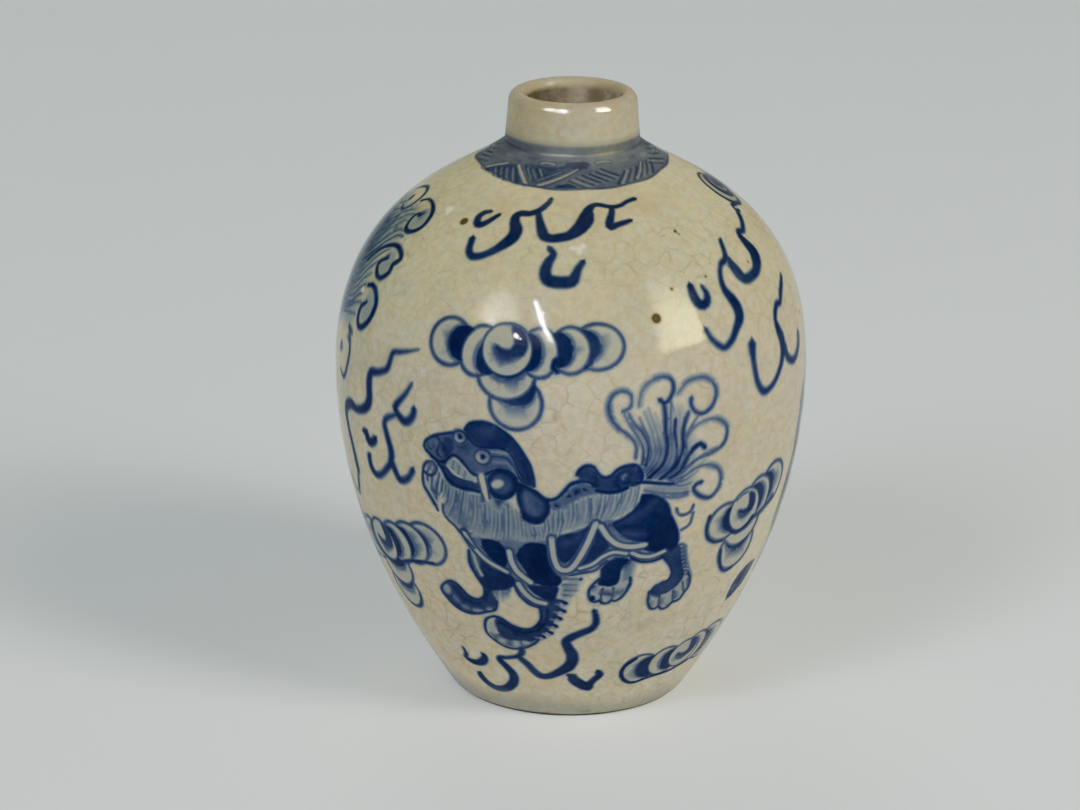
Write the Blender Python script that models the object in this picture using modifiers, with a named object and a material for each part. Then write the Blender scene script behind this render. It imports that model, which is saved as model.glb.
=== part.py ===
"""Miniature vase: one turned and fired ceramic piece, hollow, with a short neck and a foot ring.

Metres, +Z up, origin at the centre of the circle that the foot ring stands on.
The wall is one closed outline, turned about Z: from the middle of the inner floor up
the inside, over the lip, down the outside, round the foot ring and under the base.
"""
import math

import bpy
from mathutils import Vector

MM = 0.001

# Driving dimensions, in millimetres.
HEIGHT = 70.0
BELLY_RADIUS = 26.8
BELLY_HEIGHT = 38.4
FOOT_RADIUS = 13.8
NECK_RADIUS = 7.6
LIP_RADIUS = 7.25
BORE_RADIUS = 5.3
WALL = 2.9
FLOOR_THICKNESS = 3.2

# The foot ring: a bevel up to the glaze line, a flat to stand on and a recess inside it.
GLAZE_LINE = 0.6
FOOT_BEVEL = 0.45
RING_WIDTH = 2.3
RING_EDGE = 0.35
RECESS_DEPTH = 1.5
RECESS_SLOPE = 1.0

# The body's curve: how steeply the wall leaves the foot and meets the neck, and how far
# each end and the belly hold their direction.
FOOT_FLARE = math.radians(56)
FOOT_REACH = 14.5
BELLY_REACH_DOWN = 14.2
BELLY_REACH_UP = 19.2
SHOULDER_FALL = math.radians(40)
SHOULDER_REACH = 6.5
NECK_FOOT = 64.4
NECK_FILLET = 0.5

# The lip is rolled: a round outside edge and a softer inside one.
LIP_ROLL_OUT = 0.75
LIP_ROLL_IN = 0.9

# The inside follows the outside at the wall's thickness, and has its own floor.
CAVITY_FLOOR_RADIUS = 9.6
CAVITY_FLARE = math.radians(38)
CAVITY_FOOT_REACH = 10.0
CAVITY_SHOULDER_REACH = 6.0
BORE_FOOT = 62.4

TURN_STEPS = 64
GLAZE_COLOUR = (0.55, 0.50, 0.36, 1.0)
GLAZE_ROUGHNESS = 0.12


def bezier(start, leave, arrive, end, count):
    """Points along a cubic curve between two ends, without its last point."""
    points = []
    for i in range(count):
        t = i / count
        s = 1 - t
        points.append(
            start * s**3 + leave * 3 * s * s * t + arrive * 3 * s * t * t + end * t**3
        )
    return points


def arc(centre, radius, first, last, count):
    """Points round an arc, angles in degrees from +X towards +Z, without its last point."""
    angles = [math.radians(first + (last - first) * i / count) for i in range(count)]
    return [centre + radius * Vector((math.cos(a), math.sin(a))) for a in angles]


def heading(angle):
    return Vector((math.cos(angle), math.sin(angle)))


def cavity():
    """Inner floor, inner wall and bore, from the axis up to the lip."""
    floor = RECESS_DEPTH + FLOOR_THICKNESS
    belly = Vector((BELLY_RADIUS - WALL, BELLY_HEIGHT))
    corner = Vector((CAVITY_FLOOR_RADIUS, floor))
    throat = Vector((BORE_RADIUS, BORE_FOOT))
    points = [Vector((0, floor)), Vector((CAVITY_FLOOR_RADIUS / 2, floor))]
    points += bezier(
        corner,
        corner + CAVITY_FOOT_REACH * heading(CAVITY_FLARE),
        belly - Vector((0, BELLY_REACH_DOWN)),
        belly,
        8,
    )
    points += bezier(
        belly,
        belly + Vector((0, BELLY_REACH_UP - WALL)),
        throat + CAVITY_SHOULDER_REACH * heading(-SHOULDER_FALL),
        throat,
        9,
    )
    return points + [throat]


def lip():
    """The rolled lip, from the bore over the top to the outside of the neck."""
    inner = Vector((BORE_RADIUS + LIP_ROLL_IN, HEIGHT - LIP_ROLL_IN))
    outer = Vector((LIP_RADIUS - LIP_ROLL_OUT, HEIGHT - LIP_ROLL_OUT))
    points = arc(inner, LIP_ROLL_IN, 180, 90, 4)
    points.append(Vector((inner.x, HEIGHT)))
    points += arc(outer, LIP_ROLL_OUT, 90, 0, 4)
    return points + [Vector((LIP_RADIUS, outer.y))]


def outside():
    """Neck, shoulder and body, from under the lip down to the glaze line above the foot."""
    neck = Vector((NECK_RADIUS, NECK_FOOT))
    belly = Vector((BELLY_RADIUS, BELLY_HEIGHT))
    foot = Vector((FOOT_RADIUS, GLAZE_LINE))
    fall = heading(-SHOULDER_FALL)
    points = bezier(
        neck + Vector((0, NECK_FILLET)), neck, neck, neck + NECK_FILLET * fall, 3
    )
    points += bezier(
        neck + NECK_FILLET * fall,
        neck + SHOULDER_REACH * fall,
        belly + Vector((0, BELLY_REACH_UP)),
        belly,
        17,
    )
    points += bezier(
        belly,
        belly - Vector((0, BELLY_REACH_DOWN)),
        foot + FOOT_REACH * heading(FOOT_FLARE),
        foot,
        14,
    )
    return points + [foot]


def foot_ring():
    """The bevel, the flat that the vase stands on, and the recess under the base."""
    stands_to = FOOT_RADIUS - FOOT_BEVEL
    stands_from = stands_to - RING_WIDTH
    recess = stands_from - RING_EDGE
    return [
        Vector((stands_to, 0)),
        Vector((stands_from, 0)),
        Vector((recess, RING_EDGE)),
        Vector((recess - RECESS_SLOPE / 3, RECESS_DEPTH * 0.75)),
        Vector((recess - RECESS_SLOPE, RECESS_DEPTH)),
        Vector((recess / 2, RECESS_DEPTH)),
        Vector((0, RECESS_DEPTH)),
    ]


def glaze():
    """Pale crackled glaze over a thick ceramic wall."""
    material = bpy.data.materials.new("glaze")
    material.use_nodes = True
    shader = material.node_tree.nodes["Principled BSDF"]
    shader.inputs["Base Color"].default_value = GLAZE_COLOUR
    shader.inputs["Roughness"].default_value = GLAZE_ROUGHNESS
    shader.inputs["Metallic"].default_value = 0.0
    return material


def turned(name, outline, material):
    """One solid of revolution about Z, from an outline of (radius, height) in millimetres."""
    mesh = bpy.data.meshes.new(name)
    rows = [(p.x * MM, 0.0, p.y * MM) for p in outline]
    mesh.from_pydata(rows, [(i, i + 1) for i in range(len(rows) - 1)], [])
    mesh.materials.append(material)
    piece = bpy.data.objects.new(name, mesh)
    turn = piece.modifiers.new("turn", "SCREW")
    turn.steps = TURN_STEPS
    turn.render_steps = TURN_STEPS
    turn.use_smooth_shade = True
    turn.use_merge_vertices = True
    turn.merge_threshold = 0.00001
    return piece


def main():
    for old in list(bpy.data.objects):
        bpy.data.objects.remove(old)
    collection = bpy.data.collections.new("miniature_vase")
    bpy.context.scene.collection.children.link(collection)
    outline = cavity() + lip() + outside() + foot_ring()
    collection.objects.link(turned("vase", outline, glaze()))


main()
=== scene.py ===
"""Miniature ovoid vase in crackled cream glaze, painted in cobalt blue under the glaze.

The wall is one closed mesh that stands for the solid of the same shape. Its outside is laid
out flat as a sheet of paper, x round the vase and y up it, stretched so that a circle on the
sheet is a circle on the wall. Brush marks are drawn on the sheet in millimetres of the belly,
their edges become edges of the mesh, and each vertex carries how much cobalt lies there.
"""
import math
import random

import bpy
import numpy as np
from mathutils import Matrix, Vector
from mathutils.geometry import delaunay_2d_cdt


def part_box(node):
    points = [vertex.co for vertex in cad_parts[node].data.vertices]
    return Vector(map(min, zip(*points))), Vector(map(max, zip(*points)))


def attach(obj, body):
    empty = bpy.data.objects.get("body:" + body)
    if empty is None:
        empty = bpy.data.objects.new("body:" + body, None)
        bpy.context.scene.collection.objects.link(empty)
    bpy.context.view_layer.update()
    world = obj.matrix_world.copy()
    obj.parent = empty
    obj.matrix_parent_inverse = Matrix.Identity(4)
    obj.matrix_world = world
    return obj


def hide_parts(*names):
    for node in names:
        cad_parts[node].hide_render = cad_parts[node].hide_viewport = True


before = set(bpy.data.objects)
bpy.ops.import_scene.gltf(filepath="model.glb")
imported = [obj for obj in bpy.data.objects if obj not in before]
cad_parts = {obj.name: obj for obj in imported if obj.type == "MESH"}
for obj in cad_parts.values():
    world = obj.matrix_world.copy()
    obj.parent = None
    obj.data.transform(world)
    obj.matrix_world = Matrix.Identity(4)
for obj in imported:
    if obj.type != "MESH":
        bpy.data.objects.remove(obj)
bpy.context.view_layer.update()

MM = 0.001
LOW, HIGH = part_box("vase")

# Driving dimensions, in millimetres.
HEIGHT = (HIGH.z - LOW.z) / MM
BELLY_RADIUS = (HIGH.x - LOW.x) / 2 / MM
BELLY_HEIGHT = 0.5486 * HEIGHT
FOOT_RADIUS = 13.8
NECK_RADIUS = 7.6
LIP_RADIUS = 7.25
BORE_RADIUS = 5.3
WALL = 2.9
GLAZE_LINE = 0.6
NECK_FOOT = 64.4
NECK_FILLET = 0.5
THROAT = 62.4
# The foot ring, from the middle of its inner round to its bevel, and the recess inside it; the
# rounds of the lip; and the inner floor.
RING_START = 10.95
RING_ROUND = 0.3
FOOT_BEVEL = 0.45
RECESS = 1.5
LIP_ROUND = 1.1
BORE_ROUND = 0.8
INNER_FLOOR = 4.7
FLOOR_EDGE = 9.6
# How steeply the wall leaves the foot, meets the neck and leaves the inner floor.
FOOT_FLARE = math.radians(56)
SHOULDER_FALL = math.radians(40)
FLOOR_FLARE = math.radians(38)
# How far the outline's curves hold their direction: up from the foot, to the belly, on from the
# belly, and to the neck; and the same for the inside, from the throat down to the floor.
FOOT_PULL, LOWER_PULL, UPPER_PULL, NECK_PULL = 14.5, 14.2, 19.2, 6.5
THROAT_PULL, INNER_PULL, BOWL_PULL = 6.0, 16.3, 10.0

# The sheet: how far round it goes, where its right and left edges are, at the back right of
# the vase, how many places its borders have, and the pitch of the grid between the marks.
GIRTH = 2 * math.pi * BELLY_RADIUS
CUT = 76.0
LEFT = CUT - GIRTH
COLUMNS = 240
GRID = 1.5

# A mark's edge: half its soft width, and how far and how strongly a loaded brush bleeds. The
# mesh follows an edge where the ink's slope changes by more than the bend.
SOFT = 0.2
BLEED, BLEED_SHARE = 0.55, 0.15
BEND = 0.025
LAYERS = ("ink", "iron", "pit", "clay")


# ---------------------------------------------------------------- outline of the wall

def heading(angle):
    return np.array((math.cos(angle), math.sin(angle)))


def bezier(start, leave, arrive, end, count):
    """Points along a cubic curve, without its last point."""
    t = (np.arange(count) / count)[:, None]
    s = 1 - t
    start, leave, arrive, end = (np.array(p, float) for p in (start, leave, arrive, end))
    return start * s**3 + leave * 3 * s * s * t + arrive * 3 * s * t * t + end * t**3


def arc(x, y, radius, first, last, count=9):
    """Points round an arc, angles in degrees from +x towards +y, both ends included."""
    angles = np.radians(np.linspace(first, last, count))
    return np.stack((x + radius * np.cos(angles), y + radius * np.sin(angles)), 1)


def outline():
    """The wall's outline as (radius, height), from the middle of the base round the outside,
    over the lip and down to the middle of the inner floor, and its length up to each point."""
    stands = FOOT_RADIUS - FOOT_BEVEL
    foot = np.array((FOOT_RADIUS, GLAZE_LINE))
    belly = np.array((BELLY_RADIUS, BELLY_HEIGHT))
    neck = np.array((NECK_RADIUS, NECK_FOOT))
    fall = heading(-SHOULDER_FALL)
    under = np.array([(0, RECESS), (4.5, RECESS), (9.2, RECESS), (9.9, 1.3), (10.5, 0.85)])
    ring = np.vstack((arc(RING_START, RING_ROUND, RING_ROUND, 180, 270, 5),
                      arc(stands - RING_ROUND, RING_ROUND, RING_ROUND, 270, 325, 5)))
    lower = bezier(foot, foot + FOOT_PULL * heading(FOOT_FLARE), belly - (0, LOWER_PULL), belly, 160)
    upper = bezier(belly, belly + (0, UPPER_PULL), neck + NECK_PULL * fall, neck + NECK_FILLET * fall, 160)
    fillet = bezier(neck + NECK_FILLET * fall, neck, neck, neck + (-0.03, NECK_FILLET), 8)
    lip = np.vstack((arc(LIP_RADIUS - LIP_ROUND, HEIGHT - LIP_ROUND, LIP_ROUND, 0, 90, 9),
                     arc(BORE_RADIUS + BORE_ROUND, HEIGHT - BORE_ROUND, BORE_ROUND, 90, 180, 9)))
    throat = np.array((BORE_RADIUS, THROAT))
    inner = np.array((BELLY_RADIUS - WALL, BELLY_HEIGHT))
    corner = np.array((FLOOR_EDGE, INNER_FLOOR))
    shoulder = bezier(throat, throat + THROAT_PULL * fall, inner + (0, INNER_PULL), inner, 20)
    bowl = bezier(inner, inner - (0, LOWER_PULL), corner + BOWL_PULL * heading(FLOOR_FLARE), corner, 20)
    floor = np.array([corner, (4.0, INNER_FLOOR), (0, INNER_FLOOR)])
    points = np.vstack((under, ring, lower, upper, fillet, lip, shoulder, bowl, floor))
    length = np.concatenate(([0], np.cumsum(np.hypot(*np.diff(points, axis=0).T))))
    return points, length


OUTLINE, LENGTH = outline()
OUTSIDE_TOP = int(np.argmax(OUTLINE[:, 1]))


def length_at(height):
    """Length along the outline of a height on the outside of the body."""
    first = int(np.argmax(OUTLINE[:, 0] > FOOT_RADIUS - 0.5))
    part = slice(first, OUTSIDE_TOP)
    return np.interp(height, OUTLINE[part, 1], LENGTH[part])


def sheet_heights():
    """Height on the sheet of each corner of the outline: zero at the belly, and growing with
    the length over the radius, so that shapes keep their form."""
    radius = np.maximum(OUTLINE[:, 0], 1.0)
    steps = np.diff(LENGTH) * BELLY_RADIUS / ((radius[1:] + radius[:-1]) / 2)
    height = np.concatenate(([0], np.cumsum(steps)))
    return height - np.interp(length_at(BELLY_HEIGHT), LENGTH, height)


SHEET = sheet_heights()
WALL_FOOT = length_at(GLAZE_LINE)
WALL_NECK = length_at(NECK_FOOT - NECK_FILLET * math.sin(SHOULDER_FALL))
SHEET_FOOT, SHEET_NECK = np.interp((WALL_FOOT, WALL_NECK), LENGTH, SHEET)


def waver(angle, height):
    """How far the thrown wall stands off its even outline, in millimetres."""
    shoulder = np.exp(-(((height - 52) / 9) ** 2))
    lower = np.exp(-(((height - 24) / 12) ** 2))
    rings = 0.02 * np.sin(1.3 * height + 0.7 * np.sin(angle)) * np.exp(-(((height - 30) / 20) ** 2))
    return (
        0.12 * shoulder * np.sin(angle)
        + 0.05 * lower * np.sin(2 * angle + 1.0)
        + rings
    )


def surface(angle, length):
    """Points of the wall, in millimetres, for angles round it and lengths along the outline."""
    radius = np.interp(length, LENGTH, OUTLINE[:, 0])
    height = np.interp(length, LENGTH, OUTLINE[:, 1])
    outside = np.clip((length - WALL_FOOT) / 2, 0, 1) * np.clip((WALL_NECK - length) / 3, 0, 1)
    radius = radius + waver(angle, height) * outside
    return np.stack((radius * np.sin(angle), -radius * np.cos(angle), height), -1)


def surface_normals(angle, length):
    """Outward normals of the wall, from points a little to each side."""
    aside, along = 0.01, 0.12
    round_it = surface(angle + aside, length) - surface(angle - aside, length)
    up_it = surface(angle, length + along) - surface(angle, length - along)
    normal = np.cross(round_it, up_it)
    size = np.linalg.norm(normal, axis=-1, keepdims=True)
    middle = np.interp(length, LENGTH, OUTLINE[:, 0]) < 0.5
    normal = normal / np.maximum(size, 1e-9)
    normal[middle] = (0, 0, 1)
    normal[middle & (length < WALL_FOOT)] = (0, 0, -1)
    return normal


# ---------------------------------------------------------------- brush marks

def smooth(points, step, closed=False):
    """A smooth curve through points, with any further columns carried along."""
    p = np.array(points, float)
    if closed:
        p = np.vstack((p[-1], p, p[0], p[1]))
    else:
        p = np.vstack((2 * p[0] - p[1], p, 2 * p[-1] - p[-2]))
    rows = []
    for a, b, c, d in zip(p[:-3], p[1:-2], p[2:-1], p[3:]):
        count = max(1, int(round(math.dist(b[:2], c[:2]) / step)))
        t = (np.arange(count) / count)[:, None]
        rows.append(
            0.5 * (2 * b + (c - a) * t + (2 * a - 5 * b + 4 * c - d) * t**2
                   + (3 * b - a - 3 * c + d) * t**3)
        )
    if not closed:
        rows.append(p[-2:-1])
    return np.vstack(rows)


def sideways(p, closed=False):
    """Unit normals to a run of points, to the left of the way it goes."""
    ahead = np.roll(p, -1, 0) - np.roll(p, 1, 0)
    if not closed:
        ahead[0], ahead[-1] = p[1] - p[0], p[-1] - p[-2]
    size = np.maximum(np.hypot(ahead[:, 0], ahead[:, 1]), 1e-9)[:, None]
    return np.stack((-ahead[:, 1], ahead[:, 0]), 1) / size


def nearest(spots, p, closed):
    """Distance from each spot to a run of points, and where along it, as a corner number."""
    a = p if closed else p[:-1]
    b = np.roll(p, -1, 0) if closed else p[1:]
    ab = b - a
    size = np.maximum((ab**2).sum(1), 1e-12)
    best = np.full(len(spots), 1e9)
    place = np.zeros(len(spots))
    for i in range(len(a)):
        t = np.clip(((spots - a[i]) @ ab[i]) / size[i], 0, 1)
        gap = spots - a[i] - t[:, None] * ab[i]
        d = np.hypot(gap[:, 0], gap[:, 1])
        closer = d < best
        best[closer] = d[closer]
        place[closer] = i + t[closer]
    return best, place


def inside(spots, p):
    """Whether each spot lies inside a closed run of points."""
    crossings = np.zeros(len(spots), bool)
    for (x0, y0), (x1, y1) in zip(p, np.roll(p, -1, 0)):
        if y0 == y1:
            continue
        spans = (y0 > spots[:, 1]) != (y1 > spots[:, 1])
        crossings ^= spans & (spots[:, 0] < (x1 - x0) * (spots[:, 1] - y0) / (y1 - y0) + x0)
    return crossings


def thinned(run, slack=0.02):
    """A run of points without those that lie close to the straight line past them."""
    keep, last = [0], 0
    for i in range(2, len(run)):
        a, b = run[last], run[i]
        step = b - a
        size = max(np.hypot(*step), 1e-9)
        mid = run[last + 1:i] - a
        off = np.abs(mid[:, 0] * step[1] - mid[:, 1] * step[0]) / size
        if off.max() > slack or size > 1.6:
            keep.append(i - 1)
            last = i - 1
    keep.append(len(run) - 1)
    return run[keep]


class Line:
    """A brush line with its own half width and ink at each point."""

    layer = "ink"

    def __init__(self, points, ink, soft, cover):
        self.p, self.half = points[:, :2], np.maximum(points[:, 2], 0.02)
        self.ink, self.soft, self.cover = ink, soft, cover
        self.bleeds = not cover and self.half.max() > 0.17
        self.reach = self.half.max() + max(soft, BLEED)

    def edges(self):
        """Runs of points that the mesh follows: outside the soft edge, and inside it."""
        side = sideways(self.p)
        runs = []
        grows = [self.soft, -self.soft] + ([BLEED] if self.bleeds else [])
        for grow in grows:
            half = self.half + grow
            if half.max() < 0.05:
                runs.append((self.p, False))
                continue
            half = np.maximum(half, 0.012)[:, None]
            left, right = self.p + side * half, self.p - side * half
            tip, tail = self.p[-1] - self.p[-2], self.p[0] - self.p[1]
            tip = self.p[-1] + tip / max(np.hypot(*tip), 1e-9) * half[-1]
            tail = self.p[0] + tail / max(np.hypot(*tail), 1e-9) * half[0]
            runs.append((np.vstack((left, tip, right[::-1], tail)), True))
        return runs

    def strength(self, spots):
        """The share of the mark at each spot, and its ink there."""
        gap, place = nearest(spots, self.p, False)
        half = np.interp(place, np.arange(len(self.p)), self.half)
        ink = np.interp(place, np.arange(len(self.p)), self.ink)
        return blurred(gap - half, self.soft, self.bleeds), ink


class Wash:
    """An area filled with ink."""

    def __init__(self, points, ink, soft, cover, layer):
        self.p, self.ink = points[:, :2], ink
        self.soft, self.cover, self.layer = soft, cover, layer
        self.bleeds = not cover and layer == "ink" and soft < 0.3
        self.reach = max(soft, BLEED)

    def edges(self):
        side = sideways(self.p, True)
        grows = [self.soft, -self.soft] + ([BLEED] if self.bleeds else [])
        area = self.p[:, 0] @ np.roll(self.p[:, 1], -1) - self.p[:, 1] @ np.roll(self.p[:, 0], -1)
        out = -1.0 if area > 0 else 1.0
        return [(self.p + side * out * grow, True) for grow in grows]

    def strength(self, spots):
        gap, _ = nearest(spots, self.p, True)
        gap = np.where(inside(spots, self.p), -gap, gap)
        return blurred(gap, self.soft, self.bleeds), self.ink


def blurred(gap, soft, bleeds):
    """Share of a mark's ink at a distance outside its edge: a soft edge and a faint bleed."""
    share = np.clip((soft - gap) / (2 * soft), 0, 1)
    if bleeds:
        share = np.maximum(share, BLEED_SHARE * np.clip((BLEED - gap) / (BLEED - soft), 0, 1))
    return share


class Pen:
    """Draws marks on the sheet at a place of its own, with its own size. A pen with less care
    takes longer steps along each mark."""

    marks = []

    def __init__(self, x=0.0, y=0.0, size=1.0, care=1.0):
        self.at, self.size, self.care = (x, y), size, care

    def placed(self, points):
        p = np.array(points, float) * self.size
        p[:, :2] += self.at
        return p

    def line(self, points, half=0.15, ink=0.9, soft=1.0, cover=False):
        """A line through (x, y) or (x, y, half width) points. Ink may run from start to end."""
        rows = [tuple(q) + (half,) * (3 - len(q)) for q in points]
        p = smooth(self.placed(rows), 0.42 * self.size / self.care)
        inks = np.interp(np.linspace(0, 1, len(p)), np.linspace(0, 1, np.size(ink)),
                         np.atleast_1d(ink))
        Pen.marks.append(Line(p, inks, SOFT * soft, cover))

    def wash(self, points, ink=0.5, soft=1.0, cover=False, layer="ink", step=0.5):
        """A filled shape with a smooth edge through its points."""
        p = smooth(self.placed(points), step * self.size / self.care, closed=True)
        Pen.marks.append(Wash(p, ink, SOFT * soft, cover, layer))

    def reserve(self, points, half=0.35, ink=0.1):
        """A pale line left in darker colour."""
        self.line(points, half, ink, cover=True)

    def dot(self, x, y, radius, ink, layer="ink", soft=1.0):
        """A round spot."""
        self.wash(arc(x, y, radius, 0, 315, 8), ink, soft, layer=layer, step=0.25)


def between(first, second, share, count=5):
    """A run of points a share of the way from one guide line to another."""
    t = np.linspace(0, 1, count)
    rows = []
    for guide in (first, second):
        g = np.array(guide, float)
        along = np.linspace(0, 1, len(g))
        rows.append(np.stack([np.interp(t, along, g[:, k]) for k in (0, 1)], 1))
    return rows[0] * (1 - share) + rows[1] * share


# ---------------------------------------------------------------- what is painted

def ellipse(x, y, along, across, toward=0.0, count=12):
    """Points round an ellipse whose first radius lies along a direction in degrees."""
    angle = np.radians(toward)
    t = np.linspace(0, 2 * np.pi, count, endpoint=False)
    a, b = along * np.cos(t), across * np.sin(t)
    return np.stack((x + a * np.cos(angle) - b * np.sin(angle),
                     y + a * np.sin(angle) + b * np.cos(angle)), 1)


def lobe(pen, x, y, along, across, toward, ink=0.84, depth=0.42, rim=0.7):
    """One pale lobe of a cloud, with a hollow that darkens on the side towards the scroll."""
    pen.wash(ellipse(x, y, along + 0.14, across + 0.14, toward), rim)
    pen.wash(ellipse(x, y, along - 0.26, across - 0.26, toward), 0.12, cover=True, soft=1.3)
    way = heading(math.radians(toward))
    for at, size, share, soft in ((depth, 1.0, 0.5, 1.3), (depth + 0.17, 0.93, 1.04, 0.9)):
        hx, hy = x + way[0] * along * at, y + way[1] * along * at
        pen.wash(ellipse(hx, hy, along * 0.74 * size, across * 0.82 * size, toward), ink * share, soft=soft)


def scroll(pen, x, y, size, comma=1.0):
    """The coiled middle of a cloud: a pale disc with a dark comma in it."""
    def spot(points):
        return [(x + size * comma * px, y + size * comma * py) for px, py in points]

    pen.wash(ellipse(x + 0.03 * size, y, size * 1.12, size * 1.14), 0.78)
    pen.wash(ellipse(x + 0.03 * size, y, size * 1.02, size * 1.04), 0.14, cover=True)
    pen.wash(spot([(-0.62, 0.16), (-0.54, -0.3), (-0.25, -0.52), (0.1, -0.58), (0.5, -0.42),
                  (0.74, -0.1), (0.5, 0.1), (0, 0), (-0.3, 0.08)]), 0.6, soft=2)
    pen.wash(spot([(0.15, 1.02), (0.5, 0.95), (0.8, 0.68), (0.9, 0.2), (0.74, -0.2), (0.3, -0.34),
                  (-0.15, -0.28), (-0.52, 0), (-0.46, 0.18), (-0.15, 0.04), (0.16, 0.04),
                  (0.3, 0.25), (0.22, 0.65)]), 0.8, soft=1.4)
    pen.line(spot([(-0.75, 0.72), (-0.4, 0.98), (0.1, 1.03)]), 0.16, 0.6)


def ribbon(pen, points, ink=(0.74, 0.84, 0.88, 0.82, 0.9)):
    """A fluttering ribbon: one loaded stroke, thick and thin."""
    pen.line([(x, y, half * 1.1) for x, y, half in points], ink=ink, soft=1.3)


def strands(pen, guides, between_each, half, ink, soft):
    """Hairs that follow a row of guide lines, darker at their roots. A few are cut short."""
    chance = random.Random(5)
    shorten = 0.15
    for first, second in zip(guides[:-1], guides[1:]):
        for k in range(between_each):
            share = (k + 0.5 + chance.uniform(-0.15, 0.15)) / between_each
            hair = between(first, second, share, 7)
            start = int(chance.random() < shorten)
            keep = hair[start:7 - int(chance.random() < shorten)]
            width = half * chance.uniform(0.8, 1.4)
            rows = [(px, py, width * (1.3 - i / len(keep))) for i, (px, py) in enumerate(keep)]
            load = ink * chance.uniform(0.8, 1.2)
            pen.line(rows, ink=(load, load * 0.6), soft=soft)


def comb(pen, guides, half=0.12, ink=0.6):
    """Combed hair: a few hairs side by side along each guide from root to tip."""
    chance = random.Random(9)
    each, gap = (3, 0.46) if pen.care > 0.9 else (2, 0.46 * 1.5)
    for root, tip in guides:
        root, tip = np.array(root, float), np.array(tip, float)
        way = (tip - root) / np.hypot(*(tip - root))
        aside = np.array((-way[1], way[0]))
        for k in range(each):
            off = aside * (k - (each - 1) / 2 + chance.uniform(-0.15, 0.15)) * gap
            a = root + off * 0.9 + (tip - root) * chance.uniform(0.0, 0.12)
            b = tip + off * 1.1 - (tip - root) * chance.uniform(0.0, 0.14)
            bow = aside * chance.uniform(0.02, 0.3)
            width, load = half * chance.uniform(0.85, 1.2), ink * chance.uniform(0.8, 1.2)
            rows = [(*a, width * 0.75), (*((a + b) / 2 + bow), width), (*b, width * 0.7)]
            pen.line(rows, ink=(load, load, load * 0.75))


MANE_HAIRS = (
    ((-14.4, -6.6), (-15.2, -9.2)), ((-13.4, -7.4), (-15, -11.2)), ((-12.2, -7.6), (-13.4, -12.4)),
    ((-11, -7.8), (-11.9, -13)), ((-9.6, -8.6), (-10.2, -13.4)), ((-8.1, -9.4), (-8.7, -13.6)),
    ((-6.9, -8.4), (-7.3, -15)), ((-6, -9), (-6, -14)), ((-5, -10.8), (-4.9, -13.4)),
    ((-3.6, -11), (-3.6, -13.3)), ((-2.4, -9.6), (-2.6, -12.9)), ((-1.2, -8.6), (-1.6, -12.2)),
    ((0.4, -7.7), (0, -11.7)), ((2, -7.2), (1.6, -11.2)), ((3.6, -6.9), (2.8, -10.8)),
    ((5, -6.7), (4, -10.4)), ((6.4, -6.4), (5.2, -10)), ((7.4, -5.9), (6.4, -9.5)),
)


def mane_and_beard(pen):
    """A pale wash under combed hair."""
    pen.wash([(-15.2, -6.2), (-14.9, -9), (-15.1, -10.5), (-14.8, -11.3), (-13.8, -12), (-11.8, -12.7),
              (-10.5, -13.3), (-8.5, -13.3), (-7.5, -14.8), (-6, -14), (-5, -13.2), (-3.5, -13.2),
              (-2.2, -12.5), (-1, -11.8), (1, -11.3), (2.5, -10.6), (4.5, -10.2), (6, -9.8), (7.5, -8.5),
              (8, -6.6), (7.4, -6), (5.5, -6.9), (3, -6.7), (0.6, -7.6), (-1.8, -8.2), (-3.5, -10.8),
              (-5.9, -9), (-7, -7.8), (-10.5, -7.5), (-12.8, -7.4), (-14, -6.6)], 0.29, soft=2)
    pen.wash([(-14.4, -7.2), (-14.2, -9.5), (-13.9, -11.6), (-12.6, -12.3), (-11, -12.6), (-9.6, -12.4),
              (-9.6, -10), (-9.8, -8.2), (-12, -7.6)], 0.24, soft=4)
    pen.wash([(-13.6, -10.4), (-12.8, -9.6), (-11.9, -10.4), (-11.6, -12.6), (-12.4, -12.8), (-13.6, -12)],
             0.4, soft=3)
    comb(pen, MANE_HAIRS)


def chin_tuft(pen):
    """The tuft of the chin."""
    pen.wash([(-15.3, -4.9), (-16.6, -5), (-17.4, -6.2), (-17.4, -8), (-16.8, -9.2), (-16, -10.6),
              (-15.2, -9), (-14.8, -6.6)], 0.2, soft=1.5)
    pen.line([(-15.9, -4.75), (-16.8, -4.9), (-17.3, -5.5), (-17.5, -6.3), (-17.6, -7.2), (-17.5, -8),
              (-17, -8.6), (-16.6, -9.3), (-16.2, -10), (-15.9, -10.8)], 0.17, 0.8)
    pen.line([(-17.4, -8.2), (-16.8, -9.1), (-16.3, -10)], 0.22, 0.85)
    for hair in ([(-15.2, -6), (-15.6, -7.6), (-15.9, -9.2)], [(-14.8, -6.8), (-15.1, -8.2)],
                 [(-16.3, -5.2), (-16.9, -6.2), (-16.9, -7.2)],
                 [(-15.7, -5.2), (-16.2, -6.6), (-16.4, -8.2)]):
        pen.line(hair, 0.15, 0.66)
    pen.line([(-16.9, -5.1), (-16.3, -5.0), (-15.6, -5.3)], 0.16, 0.7, soft=1.5)
    pen.line([(-17.3, -6.2), (-16.6, -6.5), (-15.8, -6.1), (-15.5, -5.4), (-15.9, -4.9)], 0.15, 0.9)
    pen.wash(ellipse(-16.5, -5.6, 0.5, 0.4), 0.5, soft=2)
    pen.line([(-15.1, -9.8), (-15.1, -11), (-14.5, -11.8), (-13.8, -12.3), (-12.8, -13.5), (-11.5, -15)],
             0.17, 0.72)


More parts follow.
